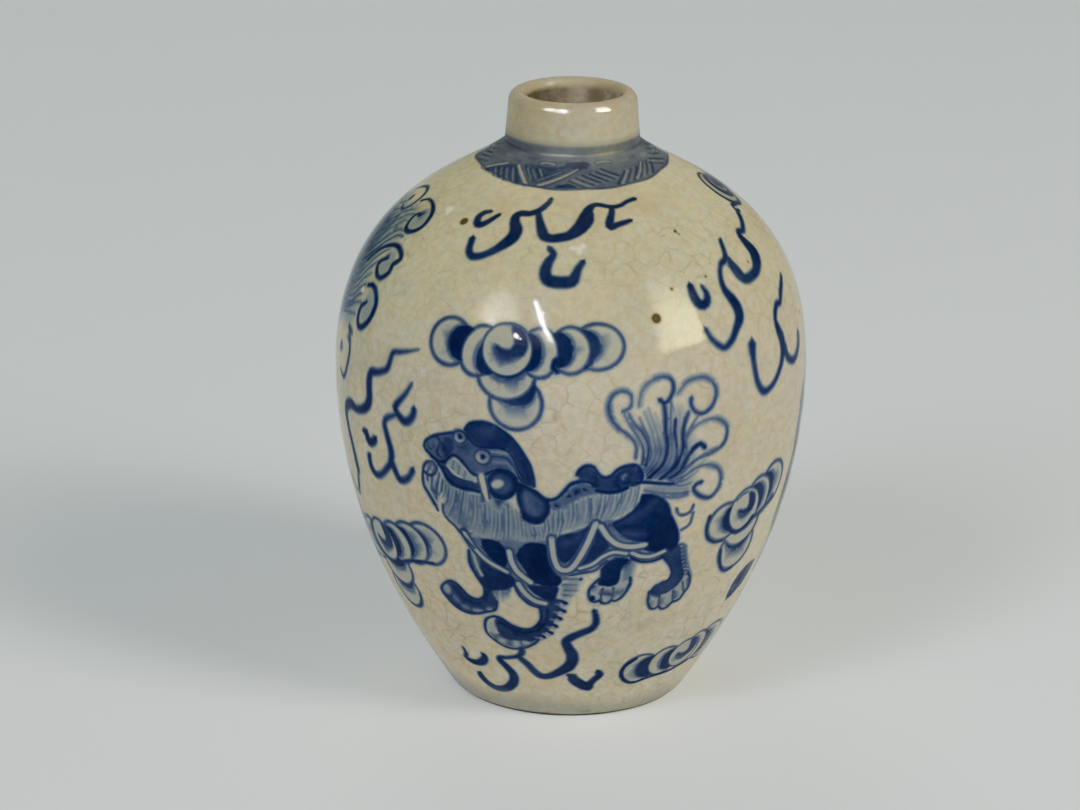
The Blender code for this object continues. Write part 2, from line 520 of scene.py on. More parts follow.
def snout(pen):
    """Snout, cheek and brow."""
    pen.wash([(-13.4, -0.8), (-14.2, -1.1), (-15.2, -1.4), (-16.2, -1.9), (-16.9, -2.5), (-17.1, -3.1),
              (-16.8, -3.6), (-16, -4.1), (-15.2, -4.5), (-14.2, -4.3), (-13.2, -3.4), (-12.4, -3.7),
              (-11.6, -4.6), (-10.8, -5.3), (-9.6, -5.2), (-8.5, -4.5), (-6.6, -4.4), (-5.8, -5.2),
              (-5.4, -4), (-6.4, -2.6), (-7.4, -1.8), (-10, -1.7), (-11.5, -0.9), (-12.6, -0.3)], 0.56,
             soft=1.3)
    pen.wash([(-16.8, -3), (-16.3, -2.2), (-15.3, -1.8), (-14.7, -2.4), (-15.2, -3.3), (-16, -3.6)], 0.46,
             cover=True, soft=2)
    pen.wash([(-15, -2.2), (-14.2, -2), (-13.5, -2.6), (-13.7, -3.3), (-14.6, -3.6), (-15, -3)], 0.8,
             soft=1.6)
    pen.dot(-14.3, -2.7, 0.26, 1.0)
    pen.wash([(-14.6, -1.5), (-13.4, -1.2), (-12.9, -2.4), (-13.2, -3.3), (-14, -4.1), (-14.8, -4.1),
              (-14.5, -3)], 0.78, soft=2)
    pen.line([(-15.3, -1.6), (-14.9, -2.3), (-15.3, -3), (-15.1, -3.8), (-14.5, -4.3)], 0.15, 0.96)
    pen.line([(-16.7, -2.9), (-16.1, -3.2), (-15.6, -3.0)], 0.12, 0.8)
    pen.line([(-15, -2.3), (-14.2, -2.1), (-13.6, -2.8)], 0.11, 0.9)
    pen.line([(-13.2, -0.8), (-14.2, -1.1), (-15.2, -1.4), (-16.2, -1.9), (-16.9, -2.5), (-17.1, -3.1),
              (-16.8, -3.6), (-16, -4.05), (-15.2, -4.5), (-14.4, -4.5)], 0.17, 0.95)
    pen.line([(-16.1, -4.1), (-15.2, -4.5), (-14.4, -4.5)], 0.26, 0.95)


def crest(pen):
    """The crest over the brow."""
    pen.wash([(-11.9, -0.2), (-11.5, 0.4), (-10.8, 0.8), (-9.6, 1.0), (-8.6, 0.85), (-7.6, 0.4),
              (-6.6, -0.3), (-5.6, -1.3), (-4.8, -2.5), (-4.2, -3.6), (-3.9, -4.8), (-3.8, -6), (-4.6, -6),
              (-5.3, -5), (-5.6, -4), (-6, -3), (-6.5, -2.3), (-7.2, -1.9), (-8.2, -1.8), (-9, -1.9),
              (-9.8, -2), (-10.5, -1.8), (-11.1, -1.4), (-11.6, -0.8)], 0.8)
    pen.line([(-10.8, -0.3), (-9.8, 0.1), (-8.8, 0)], 0.5, 0.72, soft=3, cover=True)
    pen.line([(-11.8, -0.3), (-11.4, 0.35), (-10.8, 0.75), (-9.6, 0.95), (-8.6, 0.8), (-7.6, 0.35),
              (-6.6, -0.35), (-5.7, -1.3), (-4.9, -2.5), (-4.3, -3.6), (-4, -4.8), (-3.9, -6)], 0.17, 0.97)
    pen.line([(-6, -2.1, 0.15), (-5, -3.6, 0.35), (-4.4, -5.5, 0.3)], ink=0.92, soft=1.5)
    pen.line([(-11.7, -0.7), (-11.1, -1.45), (-10.5, -1.85), (-9.8, -2.0), (-9, -1.95), (-8.2, -1.85),
              (-7.3, -1.9), (-6.3, -2.6), (-5.8, -3.8), (-5.2, -5), (-4.7, -5.8)], 0.19, 0.97)
    pen.reserve([(-8.8, -2.42), (-7.8, -2.3), (-6.9, -2.4)], 0.2, 0.3)
    pen.line([(-8.8, -2.9), (-7.3, -2.8), (-6.7, -3.1), (-6.1, -3.9), (-5.6, -5), (-4.9, -5.9)], 0.16, 0.9)
    pen.reserve([(-8.6, -3.5), (-7.6, -3.45), (-6.9, -3.5), (-6.3, -4.1), (-5.95, -5.3)], 0.22, 0.36)


def ear(pen):
    """The ear, paler inside."""
    pen.wash([(-5.9, -5.6), (-5.9, -7.2), (-5.6, -8.8), (-5.1, -10), (-4.4, -10.6), (-3.7, -10.8),
              (-3, -10.5), (-2.3, -9.5), (-2.1, -8.3), (-2.6, -7.4), (-3.5, -6.6), (-4.2, -6.2),
              (-5, -5.8)], 0.95)
    pen.wash([(-5.3, -6.7), (-5.25, -8.1), (-4.9, -9.3), (-4.1, -9.9), (-3.2, -9.7), (-2.7, -8.8),
              (-2.7, -8.1), (-3.3, -7.4), (-4.0, -6.8), (-4.7, -6.4)], 0.6, cover=True, soft=1.6)
    pen.line([(-4.7, -7.2), (-4.6, -8.4), (-4.0, -9.1)], 0.4, 0.5, soft=3, cover=True)
    pen.line([(-5.2, -10.0), (-4.2, -10.5), (-3.1, -10.2)], 0.3, 1.0, soft=1.6)


def eyes(pen):
    """The eyes, and the shade between them."""
    pen.wash([(-11.8, -1.8), (-11, -1.6), (-10.6, -2.2), (-10.8, -3.2), (-11.4, -3.4), (-12, -2.6)], 0.62,
             soft=2)
    for x, y, ring, ball, pupil in ((-12.4, -1.2, 1.0, 0.78, 0.3), (-9.7, -3.1, 1.2, 0.95, 0.36)):
        pen.wash(ellipse(x, y, ring, ring * 0.94), 0.92)
        pen.wash(ellipse(x, y, ball, ball * 0.92), 0.4, cover=True)
        pen.wash(ellipse(x - 0.1, y - 0.16, ball * 0.72, ball * 0.6), 0.22, cover=True)
        pen.dot(x + 0.05, y + 0.08, pupil, 1.0)
    pen.line([(-13.3, -1.7), (-12.8, -2.25), (-12, -2.3), (-11.4, -1.8)], 0.14, 0.82)


def lion_mouth(pen):
    """Teeth, lips, jaw, fang and the roundel of the cheek."""
    pen.wash([(-14.1, -4.3), (-13.5, -3.8), (-12.8, -3.9), (-12, -4.6), (-11.3, -5.4), (-10.7, -5.9),
              (-10.6, -6.3), (-11.6, -6.2), (-12.4, -5.9), (-13.2, -5.5), (-13.8, -5)], 0.24, cover=True)
    for x, y in ((-13.2, -4.1), (-12.5, -4.6), (-11.8, -5.1)):
        pen.line([(x, y), (x - 0.25, y - 1.0)], 0.07, 0.6)
    pen.line([(-14.4, -4.4), (-13.8, -3.7), (-13.2, -3.4), (-12.6, -3.6), (-12, -4.1), (-11.4, -4.8),
              (-10.9, -5.3), (-10.1, -5.3), (-9.3, -5.1), (-8.6, -4.6), (-7.6, -4.3), (-6.6, -4.5),
              (-5.9, -5.2), (-5.8, -6.2)], 0.2, 0.97)
    pen.line([(-15.2, -4.8, 0.3), (-14.5, -5.2, 0.42), (-14, -5.9, 0.5), (-13.2, -6.5, 0.52),
              (-12, -6.75, 0.5), (-11, -6.75, 0.5), (-10.3, -6.7, 0.42)], ink=0.7)
    pen.line([(-15.5, -4.5, 0.24), (-14.7, -5.4, 0.26), (-14.2, -6.3, 0.3), (-13.4, -6.9, 0.3),
              (-12.2, -7.2, 0.28), (-11, -7.2, 0.24), (-10.2, -7.3, 0.2)], ink=0.94)
    pen.line([(-14.2, -5.2), (-13.5, -5.9), (-12.4, -6.25), (-11, -6.35)], 0.14, 0.94)
    pen.wash(ellipse(-7.5, -6.1, 1.8, 1.8), 0.94)
    pen.wash(ellipse(-7.6, -6.1, 1.34, 1.34), 0.6, cover=True, soft=1.4)
    pen.line([(-7.4, -5.0), (-6.6, -5.6), (-6.5, -6.6), (-7.2, -7.2)], 0.2, 0.84, soft=1.5)
    pen.line([(-9, -7.0), (-8.3, -7.75), (-7.2, -7.8), (-6.3, -7.1)], 0.22, 0.92)
    pen.wash([(-9, -7.2), (-8.2, -7.8), (-7, -7.9), (-7.6, -8.6), (-8, -9.4), (-8.5, -8.4)], 0.66, soft=2)
    pen.wash(ellipse(-8.05, -6.1, 0.82, 0.54, 25), 0.14, cover=True)
    pen.reserve([(-9.9, -5.4, 0.4), (-9.65, -6.4, 0.44), (-9.45, -7.4, 0.34), (-9.3, -8.3, 0.16)], ink=0.1)
    pen.line([(-10.4, -5.5), (-10.15, -6.8), (-9.7, -8.3)], 0.1, 0.8)
    pen.line([(-9.4, -5.5), (-9.15, -6.8), (-9, -8)], 0.12, 0.85)


def lion_back(pen):
    """The back with a row of dots along it, and the bow at the root of the tail."""
    pen.wash([(-2.2, -7.7), (-1, -7.2), (0.2, -5.9), (1.4, -5.4), (3.2, -6), (3.4, -6.8), (1.4, -7.3),
              (0.2, -8), (-1.2, -9), (-2.1, -8.8)], 0.5, soft=1.5)
    for x, y, size in ((-1.4, -8.3, 0.3), (0, -7.05, 0.27), (0.75, -6.5, 0.24), (1.6, -6.25, 0.26)):
        pen.dot(x, y, size, 0.95)
    pen.line([(-3.6, -6.8), (-2.9, -7.4), (-2, -7.6), (-1.2, -7.2), (-0.6, -6.5), (0.2, -5.6), (1.2, -5.25),
              (2.3, -5.4), (3.2, -5.8)], 0.2, 1.0)
    pen.wash([(0.8, -4.4), (1.2, -3.8), (1.9, -3.4), (2.6, -3.6), (3.1, -4.4), (3.8, -4.9), (4.6, -4.7),
              (5.2, -4.1), (6, -3.7), (7.2, -3.6), (7.8, -4.1), (8.1, -5), (7.8, -5.8), (6.9, -6),
              (5.8, -6.6), (4.5, -6.8), (3.4, -6.6), (2.6, -6.1), (2, -5.5), (1.3, -5.2)], 0.74)
    pen.line([(0.8, -4.5), (1.2, -3.8), (1.9, -3.42), (2.6, -3.6), (3.1, -4.4), (3.8, -4.9), (4.6, -4.7),
              (5.2, -4.1), (6, -3.7), (7.2, -3.6), (7.8, -4.1), (8.1, -5), (7.8, -5.8), (6.9, -6)], 0.19,
             0.98)
    pen.line([(3.0, -6.4), (4.2, -6.65), (5.4, -6.6), (6.4, -6.2)], 0.28, 1.0)
    pen.line([(2.7, -4.2), (2.9, -5.2), (2.6, -6.0)], 0.16, 0.95)
    pen.line([(5.5, -6.2), (5.2, -5.4), (5.4, -4.6), (6.1, -4.2), (6.7, -4.6), (6.5, -5.3)], 0.16, 0.96)
    pen.reserve([(5.9, -5.2), (5.85, -4.85), (6.15, -4.7)], 0.14, 0.34)


def trunk(pen):
    """The trunk in medium and full blue."""
    pen.wash([(-12.2, -13.4), (-8, -13), (-5, -13), (-2, -12.4), (2.5, -10.6), (5, -10), (8, -13), (9, -15),
              (4.5, -15.8), (2, -17.4), (-1, -18.6), (-4, -20.4), (-6.5, -20), (-8, -18.6), (-10.6, -16.8),
              (-11.8, -15)], 0.44, soft=2)
    pen.wash([(-10.3, -13.5), (-9, -13.4), (-8.3, -13.6), (-7.7, -14.4), (-7.3, -15.2), (-7.4, -16.4),
              (-7.9, -17.3), (-9.2, -16.6), (-9.9, -15.8), (-10.5, -14.5)], 1.0)
    pen.wash([(-6, -14.5), (-5, -13.4), (-3.8, -13.2), (-2.6, -13.6), (-2.5, -15), (-2.2, -16.6),
              (-1.4, -17.8), (-0.8, -18.6), (-1.2, -19.4), (-2.2, -19.7), (-3.8, -19.4), (-4.6, -19),
              (-5.2, -17.6), (-6.2, -15.8)], 1.04)
    pen.line([(-5.2, -14.6), (-5.0, -16), (-4.4, -17.4)], 0.3, 0.84, soft=3, cover=True)
    pen.wash([(-1.4, -12.4), (-0.5, -11.9), (1, -11.6), (2.3, -10.8), (1.9, -12.2), (1, -14.2),
              (0.2, -15.6), (-0.7, -16.1), (-1.3, -15.2), (-1.6, -13.8)], 0.84)
    pen.line([(-0.6, -13.2), (0.4, -12.7), (1.2, -12.2)], 0.45, 0.68, soft=3, cover=True)
    pen.wash([(3.3, -11), (3.9, -12.3), (4.8, -13.7), (4.2, -14.4), (3.2, -15.5), (2, -16.3), (1.2, -16.9),
              (2, -15), (2.8, -12.8)], 0.8)
    pen.wash([(8.1, -7.2), (9.3, -7.3), (10.4, -7.8), (11.4, -8.8), (11.9, -10.2), (12.6, -11.5),
              (13.2, -13), (13.3, -14.5), (12.6, -15), (11, -15.2), (9.4, -14.9), (8.6, -14.2),
              (9.2, -13.6), (7.9, -13.4), (6.3, -12.6), (5.2, -11.4), (4.8, -10.6), (6, -10), (7.2, -9),
              (7.9, -8)], 1.0)
    pen.line([(5.4, -10.9, 0.3), (7.2, -10.1, 0.45), (8.6, -9.2, 0.45), (9.8, -8.2, 0.3)], ink=0.74,
             soft=2.5, cover=True)
    pen.line([(6.2, -12, 0.3), (7.4, -12.3, 0.5), (8.8, -12.4, 0.4)], ink=0.64, soft=3, cover=True)


def straps_and_folds(pen):
    """Pale straps and folds, each with a dark edge on both sides."""
    straps = (
        ([(-12.6, -13), (-11.5, -15), (-10, -16.6), (-7.6, -17.9)], 0.34),
        ([(-7.1, -14.8), (-6.9, -16.3), (-6.2, -17.8), (-4.7, -19.2)], 0.42),
        ([(-2.0, -12.6), (-1.9, -14.2), (-1.7, -15.6), (-1.2, -16.8), (-0.3, -17.1), (0.6, -16.4),
          (1.8, -14), (2.7, -11.5), (3, -10.6)], 0.42),
        ([(3.6, -11), (4.6, -12.6), (5.8, -13.6), (7.4, -14), (9, -13.9)], 0.4),
        ([(7.5, -14.9), (8.6, -15.5), (10, -15.7), (11.6, -15.2)], 0.33),
        ([(1.3, -16.8), (2.8, -16.2), (3.9, -15.2), (5.2, -14.6), (6.8, -14.9)], 0.3),
        ([(-6.3, -19.6), (-5.6, -21), (-4.4, -22.2), (-3, -22.6)], 0.42),
    )
    for points, half in straps:
        pen.line(points, half + 0.24, 0.94)
    for points, half in straps:
        pen.reserve(points, half, 0.17)
    pen.line([(7.4, -15.6), (8.8, -16.3), (10.4, -16.4), (11.8, -16)], 0.2, 0.92)
    pen.line([(0, -17.9), (1.5, -17.5), (3, -17.2), (3.8, -16.5), (4.5, -15.8)], 0.18, 0.82)


def first_foreleg(pen):
    """Medium blue, dark along its top edge, with pale toes and a shade behind it."""
    for x, far, half in ((-10, 3.2, 0.24), (-9.4, 2.6, 0.2), (-8.7, 1.9, 0.2), (-8, 1.2, 0.18)):
        pen.line([(x + 0.4, -20.6), (x + 0.1, -21.4), (x, -20.9 - far)], half, (0.7, 0.5, 0.25), soft=1.6)
    pen.wash([(-12.2, -15.5), (-12.3, -17.5), (-11.6, -19.5), (-10.8, -21), (-8.5, -21), (-6.8, -20),
              (-6.6, -18.8), (-8, -17.8), (-10.4, -16.6)], 0.62)
    pen.wash([(-10.8, -16.6), (-9.5, -17.5), (-7.6, -18.2), (-6.8, -18.6), (-6.6, -19.5), (-7.5, -20.5),
              (-8.5, -21), (-9.7, -21.2), (-10.5, -22), (-10.8, -23), (-12, -23.4), (-11.2, -22.3),
              (-10.9, -21), (-11.4, -19.8)], 0.88)
    pen.wash([(-9.6, -22.4), (-9.8, -23.8), (-10.6, -24.9), (-11.6, -25.5), (-12.8, -25.9), (-14.6, -26.2),
              (-16.2, -25.6), (-17.3, -24.4), (-18, -23.1), (-17.4, -22), (-16.2, -21), (-15.2, -21.2),
              (-14.5, -21.9), (-13.8, -22.8), (-12.6, -23.3), (-11.4, -22.6), (-11, -21.2)], 0.72)
    pen.line([(-16.4, -21.6, 0.3), (-15.4, -22.2, 0.7), (-14.4, -23.6, 0.7), (-12.8, -24, 0.6),
              (-11.2, -23.4, 0.5)], ink=0.86, soft=2.5)
    for x, y, a, b, tilt, ink in ((-17, -22.6, 0.95, 0.7, 80, 0.28), (-15.9, -24, 1.0, 0.5, -50, 0.46),
                                  (-14.6, -25.2, 0.8, 0.5, 0, 0.42), (-12.8, -25.35, 1.0, 0.4, 8, 0.28),
                                  (-10.8, -24.7, 0.6, 0.4, 20, 0.32)):
        pen.wash(ellipse(x, y, a, b, tilt), ink, cover=True, soft=1.5)
    pen.line([(-17.2, -23.9), (-16.6, -23.8), (-16.2, -23.3)], 0.2, 0.9, soft=1.4)
    pen.line([(-12.3, -15.5), (-12.4, -17.5), (-11.5, -19.8), (-11, -21), (-11.3, -22.5), (-12.4, -23.3),
              (-13.8, -22.8), (-14.8, -21.5), (-16, -21), (-17.4, -22), (-18, -23), (-17.5, -24.2),
              (-16.3, -25.6), (-14.6, -26.2), (-12.8, -25.9), (-11.2, -25.2), (-10, -24.6), (-9.5, -23)],
             0.19, 0.92)
    pen.line([(-15.6, -24.9), (-15.2, -25.8)], 0.13, 0.8)
    pen.line([(-13.9, -24.8), (-13.7, -25.8)], 0.12, 0.8)
    pen.reserve([(-11.8, -15.7), (-11.5, -17.5), (-11, -19)], 0.28, 0.22)


def second_foreleg(pen):
    """Stretched down and ahead, with a fringe behind it."""
    pen.wash([(-5.2, -19.6), (-3.8, -19.6), (-1.4, -19.6), (-1.5, -21), (-1.8, -22), (-2.6, -22.2),
              (-3.6, -21.6), (-4.6, -20.8)], 0.86)
    pen.wash([(-3.2, -22.7), (-1.6, -22), (-1.1, -22.6), (-1.3, -24), (-1.8, -25.5), (-2.4, -27),
              (-3.4, -28.4), (-4.6, -29.8), (-6, -30.4), (-8, -30.3), (-9.5, -30.2), (-10.3, -29),
              (-10.6, -27.3), (-10, -26.1), (-9, -26.2), (-7.9, -27.1), (-6.8, -27.7), (-5.6, -27.6),
              (-4.4, -27), (-3.6, -26), (-3.5, -24.6), (-3.6, -23.4)], 0.72)
    pen.line([(-2.8, -23.6, 0.5), (-3, -25.6, 0.5), (-4.2, -27.6, 0.6), (-6.2, -28.3, 0.6),
              (-8.2, -27.8, 0.75), (-9.7, -26.8, 0.6)], ink=0.98, soft=2.5)
    pen.wash(ellipse(-9.7, -28.9, 0.5, 0.8), 0.86, soft=2)
    pen.line([(-3.7, -23.2), (-3.6, -24.6), (-3.7, -25.6), (-4.6, -27.1), (-5.6, -27.7), (-6.8, -27.7),
              (-8, -27.2), (-9.4, -26.1), (-10.6, -25.9)], 0.24, 0.94)
    pen.line([(-6.9, -19.6), (-6.3, -21.4), (-5.2, -22.8), (-3.8, -23.4)], 0.18, 0.92)
    pen.line([(-4, -28.6), (-5.2, -29.9)], 0.2, 0.8)
    pen.line([(-8.4, -30.3), (-9.4, -30.1), (-10.2, -29.6)], 0.18, 0.84, soft=1.4)
    pen.wash([(-10.2, -29.4), (-9, -30.1), (-6.4, -30.3), (-4.8, -30), (-5.8, -31.4), (-7.4, -32),
              (-9.4, -31.8), (-11.2, -30.6), (-11.8, -29.2)], 0.42)
    for x, y, a, b in ((-11.1, -28.3, 0.7, 1.4), (-10, -30.8, 0.62, 0.5), (-7.8, -31.1, 0.66, 0.75),
                       (-6.3, -30.6, 0.7, 0.5)):
        pen.wash(ellipse(x, y, a, b), 0.19, cover=True, soft=1.5)
    for x in (-11, -8.9, -7):
        pen.line([(x, -30.4), (x + 0.1, -31.5)], 0.12, 0.74, soft=1.4)
    pen.line([(-10.4, -25.9), (-11.6, -26.6), (-12.2, -28), (-12.2, -29.6), (-11.4, -30.8), (-10, -31.9),
              (-8.5, -32.3), (-6.6, -31.8), (-5, -30.6), (-4.2, -29.5)], 0.19, 0.87)
    for x, y in ((-0.3, -22.4), (-0.5, -23.8), (-1, -25.2), (-1.6, -26.7), (-2.3, -28.1),
                 (-3.4, -29)):
        pen.line([(x - 1.4, y + 0.5), (x - 0.6, y + 0.3), (x, y - 0.1)], 0.26, (0.7, 0.84, 0.96))
        pen.line([(x - 1.3, y - 0.25), (x - 0.7, y - 0.4), (x - 0.3, y - 0.65)], 0.16, 0.3, cover=True)
    for x, y, far in ((-0.6, -18.4, 2.1), (-0.6, -19.3, 1.6), (-0.5, -20.2, 1.4), (-0.6, -21, 0.9)):
        pen.line([(x, y), (x + far, y - 0.05)], 0.2, (0.6, 0.45), soft=1.3)
    pen.dot(1.45, -18.4, 0.22, 0.9)
    pen.wash([(-1.2, -19.4), (0.8, -18), (1.8, -17.8), (1, -20.6), (0, -22), (-1.2, -21.8)], 0.24, soft=3)


def near_hind_leg(pen):
    """The leg under the belly, with a pale paw."""
    pen.wash([(3.8, -18.4), (3, -19.3), (2.6, -20.2), (2.6, -21.5), (3, -22.3), (4.2, -22.5), (5.6, -22.3),
              (6.6, -21.8), (7.3, -20.8), (7.7, -19.5), (7.4, -18.4), (6.4, -18)], 0.2)
    pen.wash([(6.2, -16.2), (7.2, -15.8), (8.2, -16.2), (8, -17.8), (7.6, -19), (6.6, -19.2)], 0.36,
             soft=2.5)
    pen.wash([(4.6, -15.9), (5.6, -15.5), (7, -15.6), (7.4, -15.9), (6.5, -16.9), (6.3, -18), (6.1, -19.2),
              (5.4, -19.7), (4.3, -19.6), (3.6, -19.3), (3.9, -18.2), (3.8, -17)], 0.95)
    pen.line([(3.8, -18.4), (3, -19.3), (2.6, -20.2), (2.55, -21), (2.75, -21.9), (3.4, -22.3),
              (4.0, -22.0), (4.3, -22.5), (5.1, -22.55), (5.5, -22.1), (5.9, -22.3), (6.6, -21.9),
              (7.2, -21), (7.7, -19.6), (7.6, -18.6)], 0.19, 0.86)
    pen.line([(4.3, -20), (4.15, -21.2), (4.1, -22)], 0.13, 0.78)
    pen.line([(5.6, -20), (5.65, -21.2), (5.5, -22)], 0.13, 0.78)
    pen.wash(ellipse(3, -21.7, 0.42, 0.55), 0.95)


def far_hind_leg(pen):
    """The last leg, with a fringe behind it."""
    pen.wash([(10.5, -21.8), (10.6, -23), (11.2, -24.3), (12.5, -24.7), (13.8, -24.6), (15, -23.8),
              (16.1, -22.8), (16.5, -21.5), (16.2, -20.2), (15.4, -19), (13, -20)], 0.22)
    pen.wash([(12, -14.6), (13.4, -14.4), (13.9, -15.6), (14.3, -17.2), (14.8, -18.3), (15.2, -19.4),
              (14.8, -20.4), (14, -21.3), (13, -22), (11.8, -22.1), (10.6, -21.9), (10.5, -21.2),
              (11.1, -20.3), (12, -20), (12.9, -19.9), (13.2, -18.9), (12.9, -17.8), (12.2, -16.8),
              (11.4, -15.8)], 0.74)
    pen.line([(12, -20), (12.9, -19.9), (13.2, -18.9), (12.9, -17.8), (12.2, -16.8), (11.4, -15.8),
              (10.9, -15.2)], 0.18, 0.92)
    pen.line([(13.5, -15), (13.9, -16.6), (14.4, -18.2), (14.9, -19.6), (14.3, -21), (13, -21.9)], 0.18,
             0.84)
    pen.line([(10.5, -21.3), (10.6, -23), (11.2, -24.3), (11.9, -24.5), (12.3, -24.1), (12.9, -24.8),
              (13.8, -24.6), (14.3, -23.9), (15, -23.8), (15.6, -23.4), (15.9, -22.6), (16.4, -21.6),
              (16.2, -20.2), (15.6, -19.2)], 0.18, 0.86)
    for a, b in (((12.2, -22.4), (12.3, -24)), ((14, -21.8), (14.4, -23.6)),
                 ((15.2, -20.6), (15.8, -22.4))):
        pen.line([a, b], 0.14, 0.74)
    for k in range(9):
        x, y = 13.6 + 0.13 * k + 0.012 * k * k, -14.6 - 0.6 * k
        pen.line([(x, y), (x + 0.5, y - 0.1), (x + 1.0, y - 0.5)], 0.17, (0.85, 0.6, 0.4), soft=1.3)


CURLS = (
    ([(7.2, -2.8), (7.3, -1.4), (6.5, -0.2), (5.3, 0.8), (4.4, 2.1), (4.2, 3.4), (4.7, 4.5),
      (5.7, 4.9), (6.6, 4.5), (6.8, 3.6), (6.4, 2.9), (5.6, 2.65)], 0.21, 0.66),
    ([(7.5, 3.1), (7.9, 4.7), (9, 5.8), (10.4, 6.1), (11.4, 5.7), (11.65, 4.8), (11.3, 3.8),
      (10.6, 3.15), (9.9, 3.6)], 0.21, (0.5, 0.56, 0.62, 0.85, 0.9)),
    ([(12.1, 4), (13.2, 5.1), (14.6, 5.45), (15.9, 5.2), (16.9, 4.2), (17, 3), (16.3, 1.8),
      (15.1, 1.3), (14.1, 1.8), (13.7, 2.6), (13.8, 3.3)], 0.22, (0.48, 0.56, 0.7, 0.88, 0.92)),
    ([(13, -1.5), (14, -0.2), (15.2, 0.4), (16.6, 0.5), (17.8, 0), (18.6, -1), (18.5, -2.2),
      (17.8, -3), (16.2, -3.6), (14.6, -3.9), (13, -4.8)], 0.21, (0.5, 0.5, 0.6, 0.86, 0.6, 0.7)),
    ([(12.2, -6.4), (13.6, -5.4), (15, -4.85), (16.5, -4.9), (17.8, -5.8), (18.2, -7.1),
      (17.7, -8.4), (16.7, -9), (15.4, -8.5), (14.5, -7.6), (14.7, -7), (15.5, -6.8)], 0.21,
     (0.6, 0.56, 0.66, 0.86, 0.9)),
    ([(12.5, -9.6), (12.8, -10.4), (13.6, -10.6), (14.4, -10.3), (14.7, -9.5)], 0.17, 0.78),
    ([(14.8, -10.5), (14.5, -12), (13.4, -12.6)], 0.16, 0.7),
)


def lion_tail(pen):
    """The parted tail: loaded strands that fan out from the root, between curled wisps."""
    pen.wash([(7.6, -3.4), (7.6, -1.2), (7, 0.6), (8, 1), (9.4, 1.2), (11.4, 2.4), (12.8, 2), (13.2, 0.4),
              (14.2, -1.4), (14.8, -4), (14.4, -7), (13.6, -8.3), (11.4, -8), (9.4, -7.2), (8, -6.2),
              (7.6, -4.8)], 0.26, soft=4)
    pen.wash([(8, -3.6), (8.8, -1.4), (10, -1), (12, -1.4), (13.2, -3), (13.2, -5), (12, -6), (9.4, -5.8),
              (8.2, -5)], 0.42, soft=4)
    pen.wash([(8, -4), (9.2, -3.2), (11.2, -3.6), (12.2, -5), (10.8, -5.7), (8.6, -5.3)], 0.54, soft=4)
    pen.wash(ellipse(12.2, 1.4, 0.8, 1.4), 0.26, soft=3)
    strokes = (
        ([(8, -3.6), (8.1, -2), (7.6, -0.6), (6.8, 0.6), (6.2, 1.6), (5.8, 2.5)], 0.16, 0.74, 0.4),
        ([(8.4, -3.8), (8.7, -1.8), (8, 0), (7, 1.2), (6.4, 2.3)], 0.18, 0.84, 0.5),
        ([(8.2, -4.3), (9, -2.6), (8.7, -0.6), (8.1, 0.6), (7.6, 1.8)], 0.14, 0.7, 0.45),
        ([(8.4, -4.6), (9.5, -2.8), (9.2, -0.6), (8.7, 0.8), (8.1, 2.4)], 0.13, 0.7, 0.3),
        ([(8.6, -4.9), (10, -3), (9.8, -0.8), (9.2, 1), (8.6, 2.8)], 0.15, 0.76, 0.25),
        ([(8.6, -5.1), (10.3, -3.4), (10.3, -1.2), (9.8, 0.6), (9.4, 2.2)], 0.1, 0.62, 0.25),
        ([(8.8, -5.3), (10.4, -3.8), (10.9, -1.8), (10.6, 0), (10.6, 1.6), (10.4, 3.1)], 0.26, 0.9, 0.62),
        ([(9.6, -5.4), (11.2, -3.6), (11.4, -1.6), (11.2, 0.2), (11.2, 2), (11.3, 3.4)], 0.12, 0.66, 0.5),
        ([(10.2, -5.5), (11.8, -3.8), (12, -2), (11.7, -0.3), (11.8, 1.1)], 0.2, 0.56, 0.74),
        ([(10.2, -5.6), (12, -4.2), (12.8, -2.2), (12.7, -0.8), (12.9, 0.6), (13.4, 1.7)], 0.25, 0.88, 0.6),
        ([(10.8, -5.6), (12.5, -4.4), (13.2, -2.6), (13.2, -1), (13.8, 0.2), (14.5, 1)], 0.15, 0.7, 0.45),
        ([(11.2, -5.7), (12.6, -4.9), (13.4, -3.4), (14.2, -2.5), (15, -2.15), (15.6, -2.7)], 0.2, 0.84, 0.9),
        ([(11.4, -5.9), (13, -5.1), (14.2, -4.2), (15.8, -3.3), (17.2, -2.9)], 0.13, 0.74, 0.4),
        ([(11.6, -6.1), (13.2, -5.6), (14.4, -4.9), (15.8, -4.2)], 0.12, 0.7, 0.3),
        ([(12, -6.3), (13.2, -6.2), (14.2, -5.7), (14.9, -5.3)], 0.12, 0.66, 0.35),
        ([(8.4, -6.8), (10, -7.2), (11.8, -7.6), (13.8, -7.7)], 0.18, 0.5, 0.5),
        ([(9.4, -7.4), (11, -7.9), (12.6, -8.2), (13.8, -8)], 0.2, 0.56, 0.4),
        ([(12, -6.6), (13.2, -6.8), (14.2, -6.6)], 0.13, 0.6, 0.4),
    )
    for points, half, root, tip in strokes:
        pen.line(points, half * 1.1, (root * 1.14, (root + tip) * 0.6, tip * 1.2), soft=1.3)
    for points, half, ink in CURLS:
        pen.line(points, half, ink, soft=1.3)
    pen.wash([(8.4, -6.5), (10.4, -6.6), (12.4, -7), (13.6, -7.2), (12.6, -7.3), (10.6, -7), (9, -6.8)],
             0.36, cover=True, soft=1.5)
    pen.line([(6.2, -5.7), (8, -5.7), (10, -6.1), (11.8, -6.4)], 0.2, 1.0)


